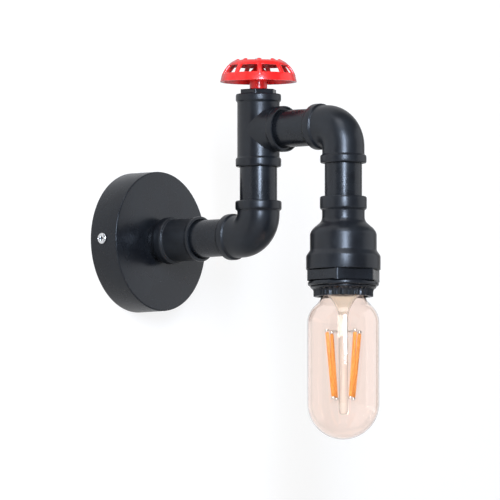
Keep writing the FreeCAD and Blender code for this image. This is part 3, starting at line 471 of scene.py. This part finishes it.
# %% [markdown]
# Below the bush, the lampholder's own flange is a thin rounded ring, and the fluted ring under it is
# gripped to screw it up. Its flutes are wide hollows between narrow ridges: the radius dips with a cosine
# raised to a power below one.

# %% Lampholder flange and fluted ring
turned_piece("holder_flange", "lampholder_body", "light", [
    (15.6, -40.3), (16.75, -40.3), (16.75, -35.0, 0.15), (22.25, -35.0, 1.3), (22.25, -32.1, 1.3),
    (17.15, -32.1, 0.1), (17.15, -4.0), (5.5, -4.0), (5.5, -5.5), (15.6, -5.5)], at=lamp_at)

FLUTES = 32
FLUTE_DEPTH = 0.95
FLUTE_WIDENING = 0.7
FLUTE_FADE = 1.6
POINTS_PER_FLUTE = 12
RING_FOOT, RING_TOP = span("fluted_ring", 2)


def fluted_points():
    """radius = profile - depth * fade(height) * ((1 - cos(flutes * a)) / 2)^0.7, outside the bore only."""
    outline = rounded([(16.81, RING_TOP), (20.7, RING_TOP, 0.3), (20.7, RING_TOP - 0.7, 0.5),
                       (19.1, RING_TOP - 1.9, 1.0), (18.75, RING_TOP - 3.0, 0.8), (18.75, RING_FOOT, 0.3),
                       (15.75, RING_FOOT, 0.3), (15.75, RING_FOOT + 1.0), (16.81, RING_FOOT + 1.0)], steps=7)
    angle = ring_angles(FLUTES * POINTS_PER_FLUTE)[None, :]
    radius, height = outline[:, 0][:, None], outline[:, 1][:, None]
    fade = np.clip((RING_TOP - 0.9 - height) / FLUTE_FADE, 0.0, 1.0) * (radius > 17.5)
    hollow = (0.5 - 0.5 * np.cos(FLUTES * angle)) ** FLUTE_WIDENING
    radius = radius - FLUTE_DEPTH * fade * hollow
    return np.stack([radius * np.cos(angle), radius * np.sin(angle), height + 0.0 * angle], axis=-1)


add_piece("grip_ring", grid_mesh("grip_ring", [(seated(fluted_points(), "up", lamp_at), True)]),
          "ring", "fluted_ring")

# %% [markdown]
# The handwheel is a die-cast tap wheel: a rim, a crown over the hub, and nine ribs between open windows.
# Rim, crown and hub are turned, and the crown ends in a short skirt that shows between the ribs. Each rib
# is a rounded bar carried up the dome's own curve.

# %% Handwheel
RIBS = 9
RIB_START = 22.0
RIM_RADIUS = 24.0
RIM_FOOT = 4.4
RIM_TOP = 9.6
CROWN_TOP = 17.95
CROWN_DISH = CROWN_TOP - 0.6
CROWN_EDGE = 14.2
CROWN_MEETING = 11.6
DOME_CENTRE = (6.0, 2.6)
DOME_RADIUS = 17.9
DOME_FLATTENING = 0.7
RIB_ARC = (20.0, 66.5)
RIB_WIDTH = 2.9
RIB_THICKNESS = 2.0
RIB_SUNK = 0.55
RIB_AROUND = 24
wheel_at = (0, -riser_out, wheel_seat)

RIM = [(22.2, RIM_FOOT, 0.3), (RIM_RADIUS, RIM_FOOT, 0.2), (23.5, 6.8, 0.8), (22.75, RIM_TOP, 0.5),
       (21.0, RIM_TOP, 0.7)]
CROWN = [(3.0, 0.0), (5.5, 0.0, 0.5), (5.5, 8.2, 1.2), (5.5, 10.8, 1.4), (2.9, 13.2, 0.8), (2.9, 16.2, 0.8),
         (16.4, 16.2, 0.6), (18.1, 14.2, 0.3), (19.2, 14.5, 0.5), (18.2, 15.9, 0.8), (16.6, 17.2, 0.8),
         (CROWN_EDGE, CROWN_TOP, 1.2), (8.4, CROWN_TOP, 0.8), (8.0, CROWN_DISH, 0.3),
         (1.5, CROWN_DISH, 0.1), (1.5, 8.8, 0.1), (3.0, 8.8, 0.1)]


def rib_path():
    """Middle of a rib in (radius, height): up the rim's outside, along the dome's arc, onto the crown.

    The arc is (c + r cos t, d + (r - flattening) sin t) about the dome's centre (c, d).
    """
    turn = np.linspace(*np.radians(RIB_ARC), 30)
    dome = np.stack([DOME_CENTRE[0] + DOME_RADIUS * np.cos(turn),
                     DOME_CENTRE[1] + (DOME_RADIUS - DOME_FLATTENING) * np.sin(turn)], axis=1)
    rim = np.linspace((RIM_RADIUS - RIB_SUNK, RIM_FOOT + 0.5), dome[0], 8)
    top = np.linspace(dome[-1], (CROWN_MEETING, dome[-1, 1]), 6)
    return np.concatenate([rim[:-1], dome, top[1:]])


def rib_points(angle):
    """Section (|u| / a)^3 + (|v| / b)^3 = 1 carried along the path, closed to a point at both ends."""
    path = rib_path()
    forward = np.gradient(path, axis=0)
    forward /= np.linalg.norm(forward, axis=1)[:, None]
    normal = np.stack([forward[:, 1], -forward[:, 0]], axis=1)
    section = ring_angles(RIB_AROUND)[None, :]
    u = 0.5 * RIB_WIDTH * np.sign(np.cos(section)) * np.abs(np.cos(section)) ** (2 / 3)
    v = 0.5 * RIB_THICKNESS * np.sign(np.sin(section)) * np.abs(np.sin(section)) ** (2 / 3)
    along = np.linspace(0.0, 1.0, len(path))
    foot_grows = np.sin(np.clip(along * 6.0, 0.0, 1.0) * np.pi / 2)[:, None]
    top_grows = np.sin(np.clip(along[::-1] * 8.0, 0.0, 1.0) * np.pi / 2)[:, None]
    grow = foot_grows * top_grows
    radius = path[:, 0][:, None] + normal[:, 0][:, None] * (v * grow - RIB_SUNK)
    height = path[:, 1][:, None] + normal[:, 1][:, None] * (v * grow - RIB_SUNK)
    side = u * grow
    cosine, sine = math.cos(angle), math.sin(angle)
    return np.stack([radius * cosine - side * sine, radius * sine + side * cosine, height], axis=-1)


wheel_grids = [(seated(lathe_points(rounded(RIM, steps=6), 128), "up", wheel_at), True),
               (seated(lathe_points(rounded(CROWN, steps=6)), "up", wheel_at), True)]
for rib in range(RIBS):
    rib_angle = math.radians(RIB_START + 360.0 / RIBS * rib)
    wheel_grids.append((seated(rib_points(rib_angle), "up", wheel_at), False))
add_piece("tap_wheel", grid_mesh("tap_wheel", wheel_grids, sharp=50.0), "wheel", "handwheel")

# %% [markdown]
# The wheel's own screw, with a cross recess, and the washer under it sit in the crown's dish. Its head is
# the side screws' height field again, made smaller and shallower.

# %% Wheel screw
WASHER = 0.7
FIXING_HEAD = 2.9
FIXING_SHANK = 1.4
FIXING_LENGTH = 13.2
head = crossed_head(FIXING_HEAD, 1.25, arm=0.5, reach=1.6, depth=0.8)
shank = lathe_points(np.array([(FIXING_HEAD, head[-1, 0, 2]), (FIXING_HEAD, 0.0), (FIXING_SHANK, 0.0),
                               (FIXING_SHANK, -FIXING_LENGTH), (0.0, -FIXING_LENGTH)]), SCREW_AROUND)
screw_at = (0, -riser_out, wheel_seat + (CROWN_DISH + WASHER))
add_piece("wheel_fixing", grid_mesh("wheel_fixing", [(seated(head, "up", screw_at), False),
                                                     (seated(shank, "up", screw_at), False)], sharp=50.0),
          "wheel", "wheel_screw")

# %% [markdown]
# The bulb is blown glass: a tube with a sloping shoulder, drawn in to the neck, and a round end. Its
# wall has an inner and an outer face, so light bends through it as it does in the real one.

# %% Bulb glass
bulb_left, bulb_right = span("bulb_glass", 0)
BULB_RADIUS = (bulb_right - bulb_left) / 2
CAP_RIM = span("bulb_cap", 2)[0]
BULB_LENGTH = CAP_RIM - span("bulb_glass", 2)[0]
GLASS_WALL = 0.7
NECK_RADIUS = 12.6
NECK_FOOT = (17.6, -8.6)
NECK_CURVE = 15.7
NECK_SLOPE = 0.66
SHOULDER = 19.5
SHOULDER_CURVE = 14.5
bulb_at = (0, -drop_out, CAP_RIM)


def arc(start, end, radius):
    """centre + radius (cos t, sin t) from start to end the short way; a negative radius is hollow."""
    start, end = np.array(start, float), np.array(end, float)
    chord = end - start
    half = np.linalg.norm(chord) / 2
    normal = np.array([-chord[1], chord[0]]) / (2 * half)
    centre = (start + end) / 2 - normal * math.copysign(math.sqrt(radius ** 2 - half ** 2), radius)
    first = math.atan2(*(start - centre)[::-1])
    sweep = math.copysign(2 * math.asin(half / abs(radius)), radius)
    turn = first - sweep * np.linspace(0.0, 1.0, 24)
    return centre + abs(radius) * np.stack([np.cos(turn), np.sin(turn)], axis=1)


def bulb_profile(inset):
    """Hollow neck, round shoulder, straight side and round end, each drawn in by the inset."""
    full = BULB_RADIUS - inset
    low = (NECK_FOOT[0] - inset * NECK_SLOPE, NECK_FOOT[1] - inset * NECK_SLOPE)
    neck = arc((NECK_RADIUS - inset, 0.0), low, -NECK_CURVE)
    shoulder = arc(low, (full, -SHOULDER), SHOULDER_CURVE)
    turn = np.linspace(0.0, np.pi / 2, 40)
    dome = np.stack([full * np.cos(turn), BULB_RADIUS - BULB_LENGTH - full * np.sin(turn)], axis=1)
    return np.concatenate([neck, shoulder[1:], dome])


glass_outline = np.concatenate([bulb_profile(0.0), bulb_profile(GLASS_WALL)[::-1]])
glass_grid = seated(lathe_points(glass_outline, 128), "up", bulb_at)
add_piece("glass_envelope", grid_mesh("glass_envelope", [(glass_grid, True)], sharp=60.0),
          "bulb", "bulb_glass")

# %% [markdown]
# Inside, a glass stem hangs from the neck: a hollow flare, drawn out like a funnel, that narrows to a
# rod. It carries four straight filaments. Each one is a strip of glass coated with phosphor, with a
# bright metal clip at either end, held by thin wires.

# %% Stem, filaments and wires
FILAMENT_TOP = 24.0
FILAMENT_FOOT = 66.0
TOP_OUT = 12.7
FOOT_OUT = 7.8
FILAMENTS = 4
FILAMENT_START = 76.0
FILAMENT_RADIUS = 1.2
CLIP = 1.8
WIRE_START = 3.0
STEM_END = CAP_RIM - span("bulb_stem", 2)[0]


def tube_points(start, end, along, radii):
    """start + (end - start) s + r (side cos a + other sin a), for each share s of the way and radius r."""
    start, end = np.array(start, float), np.array(end, float)
    forward = (end - start) / np.linalg.norm(end - start)
    side = np.cross(forward, [0.0, 0.0, 1.0] if abs(forward[2]) < 0.9 else [1.0, 0.0, 0.0])
    side /= np.linalg.norm(side)
    other = np.cross(forward, side)
    angle = ring_angles(20)[None, :, None]
    centre = start + (end - start) * np.array(along)[:, None]
    return centre[:, None] + np.array(radii)[:, None, None] * (np.cos(angle) * side + np.sin(angle) * other)


def filament_ends(number):
    """Top and foot of one filament, in the bulb's own millimetres."""
    angle = math.radians(FILAMENT_START + 360.0 / FILAMENTS * number)
    across = np.array([math.cos(angle), math.sin(angle), 0.0])
    return across * TOP_OUT + [0, 0, -FILAMENT_TOP], across * FOOT_OUT + [0, 0, -FILAMENT_FOOT]


def in_bulb(points, closed=False):
    """A grid of the bulb's own points, seated in its place."""
    return seated(points, "up", bulb_at), closed


# where the circles of each kind of bar lie along it, and how wide they are
STRIP_ALONG = [0.0, 0.0, 0.01, 0.03, 0.97, 0.99, 1.0, 1.0]
STRIP_RADII = np.array([0.0, 0.6, 0.9, 1.0, 1.0, 0.9, 0.6, 0.0]) * FILAMENT_RADIUS
CLIP_ALONG, CLIP_RADII = [0, 0, 0.15, 0.85, 1, 1], [0, 1.1, 1.3, 1.3, 1.1, 0]
WIRE_ALONG, WIRE_RADII = [0, 0, 1, 1], [0, 0.3, 0.3, 0]
strips, clips = [], []
for number in range(FILAMENTS):
    top, foot = filament_ends(number)
    down = (foot - top) / np.linalg.norm(foot - top) * CLIP
    across = np.array([top[0], top[1], 0.0]) / TOP_OUT
    strips.append(in_bulb(tube_points(top + down, foot, STRIP_ALONG, STRIP_RADII)))
    for end in (top, foot):
        clips.append(in_bulb(tube_points(end, end + down, CLIP_ALONG, CLIP_RADII)))
        middle = end + down / 2
        wire_start = across * WIRE_START + [0, 0, middle[2]]
        clips.append(in_bulb(tube_points(wire_start, middle, WIRE_ALONG, WIRE_RADII)))
add_piece("filament_strips", grid_mesh("filament_strips", strips, sharp=50.0), "bulb", "filaments")
add_piece("filament_clips", grid_mesh("filament_clips", clips, sharp=50.0), "bulb", "filament_wires")

stem_outline = rounded([(0.0, -17.0), (1.6, -15.5, 1.0), (3.4, -9.8, 3.0), (7.0, -5.0, 3.0),
                        (10.6, -1.4, 0.5), (10.9, 0.0, 0.2), (11.8, 0.0, 0.2), (11.8, -0.8, 0.3),
                        (8.2, -4.4, 3.0), (4.6, -9.6, 3.0), (3.0, -14.0, 2.0), (3.0, 2.6 - STEM_END, 1.0),
                        (2.3, 0.4 - STEM_END, 1.0), (0.0, -STEM_END, 0.1)], steps=7, closed=False)
add_piece("glass_stem", grid_mesh("glass_stem", [in_bulb(lathe_points(stem_outline, 64))]),
          "bulb", "bulb_stem")

# %% [markdown]
# The bulb's cap has the rolled round-bottomed screw thread of its kind. The radius follows a helix: a
# cosine of the height plus the angle, so that one turn climbs by the pitch, faded out at both ends.

# %% Screw cap
PITCH = 3.62
THREAD_DEPTH = 0.62
THREAD_CREST = 13.1
THREAD_START, THREAD_END, THREAD_FADE = 2.2, 18.4, 1.4
SLEEVE = 18.6
CAP_INSIDE = 11.9


def cap_points():
    """radius = crest - depth * fade * (1 - cos(2 pi z / pitch - a)) / 2; the fade is 0 at both ends."""
    height = np.linspace(0.0, SLEEVE, 150)[:, None]
    angle = ring_angles()[None, :]
    fade = (np.clip((height - THREAD_START) / THREAD_FADE, 0, 1)
            * np.clip((THREAD_END - height) / THREAD_FADE, 0, 1))
    wave = 0.5 - 0.5 * np.cos(2 * np.pi * (height / PITCH) - angle)
    radius = THREAD_CREST - THREAD_DEPTH * wave * fade
    body = np.stack([radius * np.cos(angle), radius * np.sin(angle), height + 0.0 * angle], axis=-1)
    cone = lathe_points(np.array([(CAP_INSIDE, 19.4), (8.6, 22.0), (8.2, 22.0), (11.2, 18.9),
                                  (CAP_INSIDE, 17.0), (CAP_INSIDE, 0.0)]))
    return np.concatenate([body, cone])


add_piece("screw_cap", grid_mesh("screw_cap", [in_bulb(cap_points(), True)], sharp=50.0),
          "bulb", "bulb_cap")

# %% [markdown]
# Finishes. One function turns the written sRGB colours into the linear ones that light is worked out
# with, and one adds a node with its settings and links. Patterns are sized in millimetres.


# %% Material tools
def linear(code):
    """sRGB hex to linear: c / 12.92 below 0.04045, else ((c + 0.055) / 1.055) to the power 2.4."""
    values = [int(code[i:i + 2], 16) / 255 for i in (1, 3, 5)]
    return tuple(c / 12.92 if c <= 0.04045 else ((c + 0.055) / 1.055) ** 2.4 for c in values) + (1.0,)


def node(tree, kind, settings=None, **links):
    """Adds a node, sets its properties and inputs, and links the named inputs."""
    made = tree.nodes.new(kind)
    for key, setting in (settings or {}).items():
        if key in made.inputs:
            made.inputs[key].default_value = setting
        else:
            setattr(made, key, setting)
    for socket, source in links.items():
        tree.links.new(source, made.inputs[socket.replace("_", " ")])
    return made


def new_material(name, **surface):
    """A material with a Principled surface; returns it, its tree and the surface node."""
    material = bpy.data.materials.new(name)
    material.use_nodes = True
    tree = material.node_tree
    principled = tree.nodes["Principled BSDF"]
    for key, setting in surface.items():
        principled.inputs[key.replace("_", " ")].default_value = setting
    material.diffuse_color = principled.inputs["Base Color"].default_value
    print("finish", name)
    return material, tree, principled


def own_place(tree):
    """A point's place on its piece, in metres."""
    return node(tree, "ShaderNodeTexCoord").outputs["Object"]


def grain(tree, size_mm, detail=3.0):
    """Noise whose lumps are about size_mm across, read from the piece's own metres."""
    return node(tree, "ShaderNodeTexNoise", {"Scale": 1.0 / (size_mm * MM), "Detail": detail,
                                             "Roughness": 0.55}, Vector=own_place(tree))


def vary(tree, source, low, high):
    """Spreads a noise's middle range between two values."""
    spread = node(tree, "ShaderNodeMapRange", {"From Min": 0.3, "From Max": 0.7, "To Min": low,
                                               "To Max": high}, Value=source.outputs["Fac"])
    return spread.outputs["Result"]


def bump(tree, principled, source, height_mm):
    """Raises the surface by a noise of the given height."""
    made = node(tree, "ShaderNodeBump", {"Distance": height_mm * MM, "Strength": 1.0},
                Height=source.outputs["Fac"])
    tree.links.new(made.outputs["Normal"], principled.inputs["Normal"])


def two_tone(tree, principled, value, stops):
    """Base colour from one hex code to another, each reached where the value is at its own stop."""
    ramp = node(tree, "ShaderNodeValToRGB", Fac=value)
    for element, (at, code) in zip(ramp.color_ramp.elements, stops):
        element.position = at
        element.color = linear(code)
    tree.links.new(ramp.outputs["Color"], principled.inputs["Base Color"])


def tint(tree, principled, source, dark, light):
    """Colour between two hex values, by a noise's middle range."""
    two_tone(tree, principled, source.outputs["Fac"], [(0.35, dark), (0.65, light)])


# %% [markdown]
# Powder coat on cast iron and steel: a baked polyester skin, satin black with a faint orange-peel
# texture about a millimetre across. It gives broad, soft highlights that follow the round bodies.

# %% Powder-coated steel
def powder_coat(name, roughness, peel_mm, height_mm):
    """Satin black: fine peel in the surface, and a slow cloud in the colour and the gloss."""
    material, tree, surface = new_material(name, Base_Color=linear("#14161a"), Roughness=roughness)
    peel = grain(tree, peel_mm)
    cloud = grain(tree, 14.0, detail=2.0)
    tint(tree, surface, cloud, "#111317", "#16191d")
    tree.links.new(vary(tree, cloud, roughness - 0.04, roughness + 0.05), surface.inputs["Roughness"])
    bump(tree, surface, peel, height_mm)
    return material


cast_black = powder_coat("powder_coated_cast_iron", 0.32, 1.3, 0.006)
steel_black = powder_coat("powder_coated_steel", 0.27, 0.9, 0.003)

# %% [markdown]
# The handwheel is die-cast zinc under red gloss enamel, sprayed and stoved. A clear glassy skin lies over
# a deep colour, so the eye gets a small sharp highlight on top of a soft red one, slightly rippled.

# %% Red enamel
red_enamel, tree, surface = new_material("red_gloss_enamel", Base_Color=linear("#e3201c"), Roughness=0.3,
                                         Coat_Weight=0.35, Coat_Roughness=0.1)
tint(tree, surface, grain(tree, 9.0, detail=2.0), "#d81a19", "#e8231f")
bump(tree, surface, grain(tree, 2.2), 0.012)

# %% [markdown]
# Bright parts: chromed side screws, nickel and zinc plate, brass and the drawn aluminium of the bulb's cap.
# Plating over machined metal shows fine scratches that break up the reflection. The scratches are drawn
# coarser than real ones, or no pixel would show them. The shade in a screw's cross recess is painted: the
# chrome's colour goes dark from the face of the head down to the floor of the cross.


# %% Metals
def metal(name, dark, light, roughness, scratch_mm):
    """Plated or drawn metal: one noise varies its colour, its gloss and its surface."""
    material, tree, surface = new_material(name, Base_Color=linear(light), Metallic=1.0, Roughness=roughness)
    scratches = grain(tree, scratch_mm, detail=5.0)
    tint(tree, surface, scratches, dark, light)
    tree.links.new(vary(tree, scratches, roughness - 0.06, roughness + 0.1), surface.inputs["Roughness"])
    bump(tree, surface, scratches, 0.004)
    return material


def paint_recess_shade(material, floor_mm, face_mm):
    """Painted shade: dark below the first distance from the light's middle plane, bright past the second."""
    tree = material.node_tree
    place = node(tree, "ShaderNodeSeparateXYZ", Vector=own_place(tree))
    distance = node(tree, "ShaderNodeMath", {"operation": "ABSOLUTE"}, Value=place.outputs["X"])
    level = node(tree, "ShaderNodeMapRange", {"From Min": floor_mm * MM, "From Max": face_mm * MM},
                 Value=distance.outputs["Value"])
    two_tone(tree, tree.nodes["Principled BSDF"], level.outputs["Result"],
             [(0.0, "#2c2d2f"), (1.0, "#fbfbfb")])


bright_nickel = metal("nickel_plated_steel", "#dcdddd", "#f1f1ef", 0.2, 0.7)
zinc_plate = metal("zinc_plated_steel", "#a9adb1", "#c8ccd0", 0.32, 1.1)
plain_brass = metal("machined_brass", "#b58a3f", "#d8b266", 0.25, 0.8)
cap_metal = metal("drawn_aluminium", "#b9babb", "#d8d9d9", 0.28, 0.9)

screw_metal = metal("chromed_steel", "#f4f4f4", "#ffffff", 0.16, 2.0)
# painted shade: the chrome turns dark grey inside the screws' cross recesses
paint_recess_shade(screw_metal, CANOPY_RADIUS + 0.5, CANOPY_RADIUS + 0.9)

# %% [markdown]
# Moulded parts: a polyamide terminal block, the thermoset liner and the insulator in the cap, and a
# rubber seal. A mould leaves them matt and faintly mottled, with no sharp highlight.


# %% Moulded parts
def moulded(name, dark, light, roughness, size_mm):
    """Moulded plastic or rubber: a fine mottle in both colour and surface."""
    material, tree, surface = new_material(name, Base_Color=linear(light), Roughness=roughness)
    speckle = grain(tree, size_mm)
    tint(tree, surface, speckle, dark, light)
    bump(tree, surface, speckle, 0.012)
    return material


white_polyamide = moulded("moulded_polyamide", "#dcdad3", "#e9e7e0", 0.5, 1.4)
black_thermoset = moulded("moulded_thermoset", "#151517", "#232326", 0.42, 1.2)
seal_rubber = moulded("nitrile_rubber", "#161616", "#202020", 0.75, 0.8)

# %% [markdown]
# Clear lamp glass with a faint amber wash bends what is behind it and mirrors the studio. The stem's lead
# glass is clear in the flare and a little frosted in the rod below it, so the rod shows as a pale column.
# The phosphor on the filaments is a matt orange with a faint painted glow, though the lamp is off.

# %% Glass and phosphor
lamp_glass, tree, surface = new_material("amber_washed_glass", Base_Color=linear("#fbf0ea"), Roughness=0.0,
                                         IOR=1.47, Transmission_Weight=1.0)
bump(tree, surface, grain(tree, 30.0, detail=1.0), 0.03)
ROD_TOP, FLARE_FOOT = -0.056, -0.050
FROSTED, CLEAR = 0.62, 1.0
stem_material, tree, surface = new_material("frosted_lead_glass", Base_Color=linear("#fffdf6"),
                                            Roughness=0.12, IOR=1.5, Transmission_Weight=0.7)
height = node(tree, "ShaderNodeSeparateXYZ", Vector=own_place(tree))
clearing = node(tree, "ShaderNodeMapRange", {"From Min": ROD_TOP, "From Max": FLARE_FOOT,
                                             "To Min": FROSTED, "To Max": CLEAR}, Value=height.outputs["Z"])
tree.links.new(clearing.outputs["Result"], surface.inputs["Transmission Weight"])
bump(tree, surface, grain(tree, 6.0, detail=1.0), 0.03)

# painted glow: the filaments give off a faint orange light though the lamp is off
phosphor, tree, surface = new_material("silicone_phosphor", Base_Color=linear("#f2a049"), Roughness=0.55,
                                       Emission_Color=linear("#f39a3c"), Emission_Strength=0.2)
tint(tree, surface, grain(tree, 1.6), "#ee9a40", "#f6aa58")
bump(tree, surface, grain(tree, 0.9), 0.03)

# %% [markdown]
# Each finish goes onto the pieces that are made of it. The pieces that keep the measured model's own
# mesh, such as the bracket and the terminals, get theirs here too.

# %% Give every piece its finish
FINISHES = {
    steel_black: ["canopy_shell", "collar", "nipple_tube", "riser_tube", "branch_tube", "drop_tube",
                  "bush_hexagon", "plug_hexagon", "holder_flange", "grip_ring"],
    cast_black: ["coupling", "elbow_low", "elbow_high", "tee_body", "bell"],
    red_enamel: ["tap_wheel"],
    screw_metal: ["side_screws"],
    bright_nickel: ["filament_clips", "bulb_contact", "screw_shell"],
    zinc_plate: ["wall_bracket", "earth_washer", "terminal_screws", "canopy_stem", "stem_washer", "stem_nut",
                 "valve_spindle", "spindle_clip", "wheel_washer", "wheel_fixing"],
    plain_brass: ["earth_screw", "terminal_barrels", "holder_screws", "centre_contact"],
    cap_metal: ["screw_cap"],
    white_polyamide: ["terminal_block"],
    black_thermoset: ["holder_liner", "cap_insulator"],
    seal_rubber: ["gland_ring"],
    lamp_glass: ["glass_envelope"],
    stem_material: ["glass_stem"],
    phosphor: ["filament_strips"],
}
for material, names in FINISHES.items():
    for name in names:
        mesh = bpy.data.objects[name].data
        mesh.materials.clear()
        mesh.materials.append(material)
print("finishes:", len(FINISHES))

# %% [markdown]
# The studio: a white wall behind the light and a pale floor under it. Both are matt paint with a glow
# of their own that is set apart for each kind of ray. What the camera sees is near white and still takes
# the light's soft shadow, while what the black pipes mirror is dimmer, so they stay black. The wall is
# clear from behind, so that the back can be looked at.

# %% Wall and floor
def stage_plane(name, corners, material):
    """One flat face that belongs to the studio and not to the light."""
    mesh = bpy.data.meshes.new(name)
    mesh.from_pydata(corners, [], [(0, 1, 2, 3)])
    mesh.materials.append(material)
    plane = bpy.data.objects.new(name, mesh)
    bpy.context.scene.collection.objects.link(plane)
    print("stage", name)


def backdrop(name, colour, glow, one_sided=False):
    """Matt paint plus a glow: strength = the sum over the kinds of ray of is_it * amount."""
    material = bpy.data.materials.new(name)
    material.use_nodes = True
    tree = material.node_tree
    tree.nodes.clear()
    path = node(tree, "ShaderNodeLightPath")
    strength = None
    for ray, amount in glow.items():
        part = node(tree, "ShaderNodeMath", {"operation": "MULTIPLY_ADD"}, Value=path.outputs[ray])
        part.inputs[1].default_value = amount
        part.inputs[2].default_value = 0.0
        if strength is not None:
            tree.links.new(strength, part.inputs[2])
        strength = part.outputs["Value"]
    paint = node(tree, "ShaderNodeBsdfDiffuse", {"Color": linear(colour)})
    light = node(tree, "ShaderNodeEmission", Strength=strength)
    both = node(tree, "ShaderNodeAddShader")
    tree.links.new(paint.outputs[0], both.inputs[0])
    tree.links.new(light.outputs[0], both.inputs[1])
    last = both
    if one_sided:
        side = node(tree, "ShaderNodeNewGeometry")
        clear = node(tree, "ShaderNodeBsdfTransparent")
        last = node(tree, "ShaderNodeMixShader", Fac=side.outputs["Backfacing"])
        tree.links.new(both.outputs[0], last.inputs[1])
        tree.links.new(clear.outputs[0], last.inputs[2])
    out = node(tree, "ShaderNodeOutputMaterial")
    tree.links.new(last.outputs[0], out.inputs["Surface"])
    return material


WALL_GAP = 0.0004
WALL_REACH = 3.0
FLOOR = -0.33
WALL_GLOW = {"Is Camera Ray": 0.83, "Is Glossy Ray": 0.45, "Is Transmission Ray": 0.43}
FLOOR_GLOW = {"Is Camera Ray": 0.8, "Is Glossy Ray": 0.12, "Is Transmission Ray": 0.7}
wall_paint = backdrop("white_wall_paint", "#7a7a7a", WALL_GLOW, one_sided=True)
floor_paint = backdrop("pale_floor_paint", "#8a8a8a", FLOOR_GLOW)
SQUARE = [(-WALL_REACH, -WALL_REACH), (WALL_REACH, -WALL_REACH), (WALL_REACH, WALL_REACH),
          (-WALL_REACH, WALL_REACH)]
stage_plane("wall", [(x, WALL_GAP, z) for x, z in SQUARE], wall_paint)
stage_plane("floor", [(x, y, FLOOR) for x, y in SQUARE], floor_paint)

# %% [markdown]
# Four soft boxes. A tall narrow strip in front, near the camera, draws the long highlights down the
# pipes. A large weak reflector on the right lights their far edges. A fill in front gives the matt
# brightness but is left out of reflections, or the black would turn grey. A small one overhead picks
# out the tops of the fittings and the wheel. A faint even world keeps the shadows open.


# %% Lights and world
LIT_POINT = Vector((0.0, -0.10, 0.0))


def soft_box(name, at, width, height, watts, colour, mirrored=True):
    """An area light that looks at the middle of the object; unmirrored ones leave no highlight."""
    data = bpy.data.lights.new(name, "AREA")
    data.shape = "RECTANGLE"
    data.size, data.size_y = width, height
    data.energy = watts
    data.color = linear(colour)[:3]
    light = bpy.data.objects.new(name, data)
    light.location = at
    light.visible_glossy = mirrored
    light.rotation_euler = (LIT_POINT - Vector(at)).to_track_quat("-Z", "Y").to_euler()
    bpy.context.scene.collection.objects.link(light)
    print("soft box", name, watts, "W")


soft_box("front_strip", (-0.72, -0.93, 0.30), 0.17, 0.62, 15.0, "#d2e4ff")
soft_box("right_reflector", (0.78, -0.72, 0.1), 1.0, 1.1, 2.9, "#f4f8ff")
soft_box("front_fill", (-1.0, -0.85, 0.35), 0.6, 0.6, 16.0, "#fffaf4", mirrored=False)
soft_box("overhead", (-0.45, -0.55, 1.0), 0.5, 0.5, 2.6, "#eef4ff")

world = bpy.data.worlds.new("studio_air")
world.use_nodes = True
air = world.node_tree.nodes["Background"]
air.inputs["Color"].default_value = (1.0, 1.0, 1.0, 1.0)
air.inputs["Strength"].default_value = 0.12
bpy.context.scene.world = world
bpy.context.scene.view_settings.view_transform = "Standard"
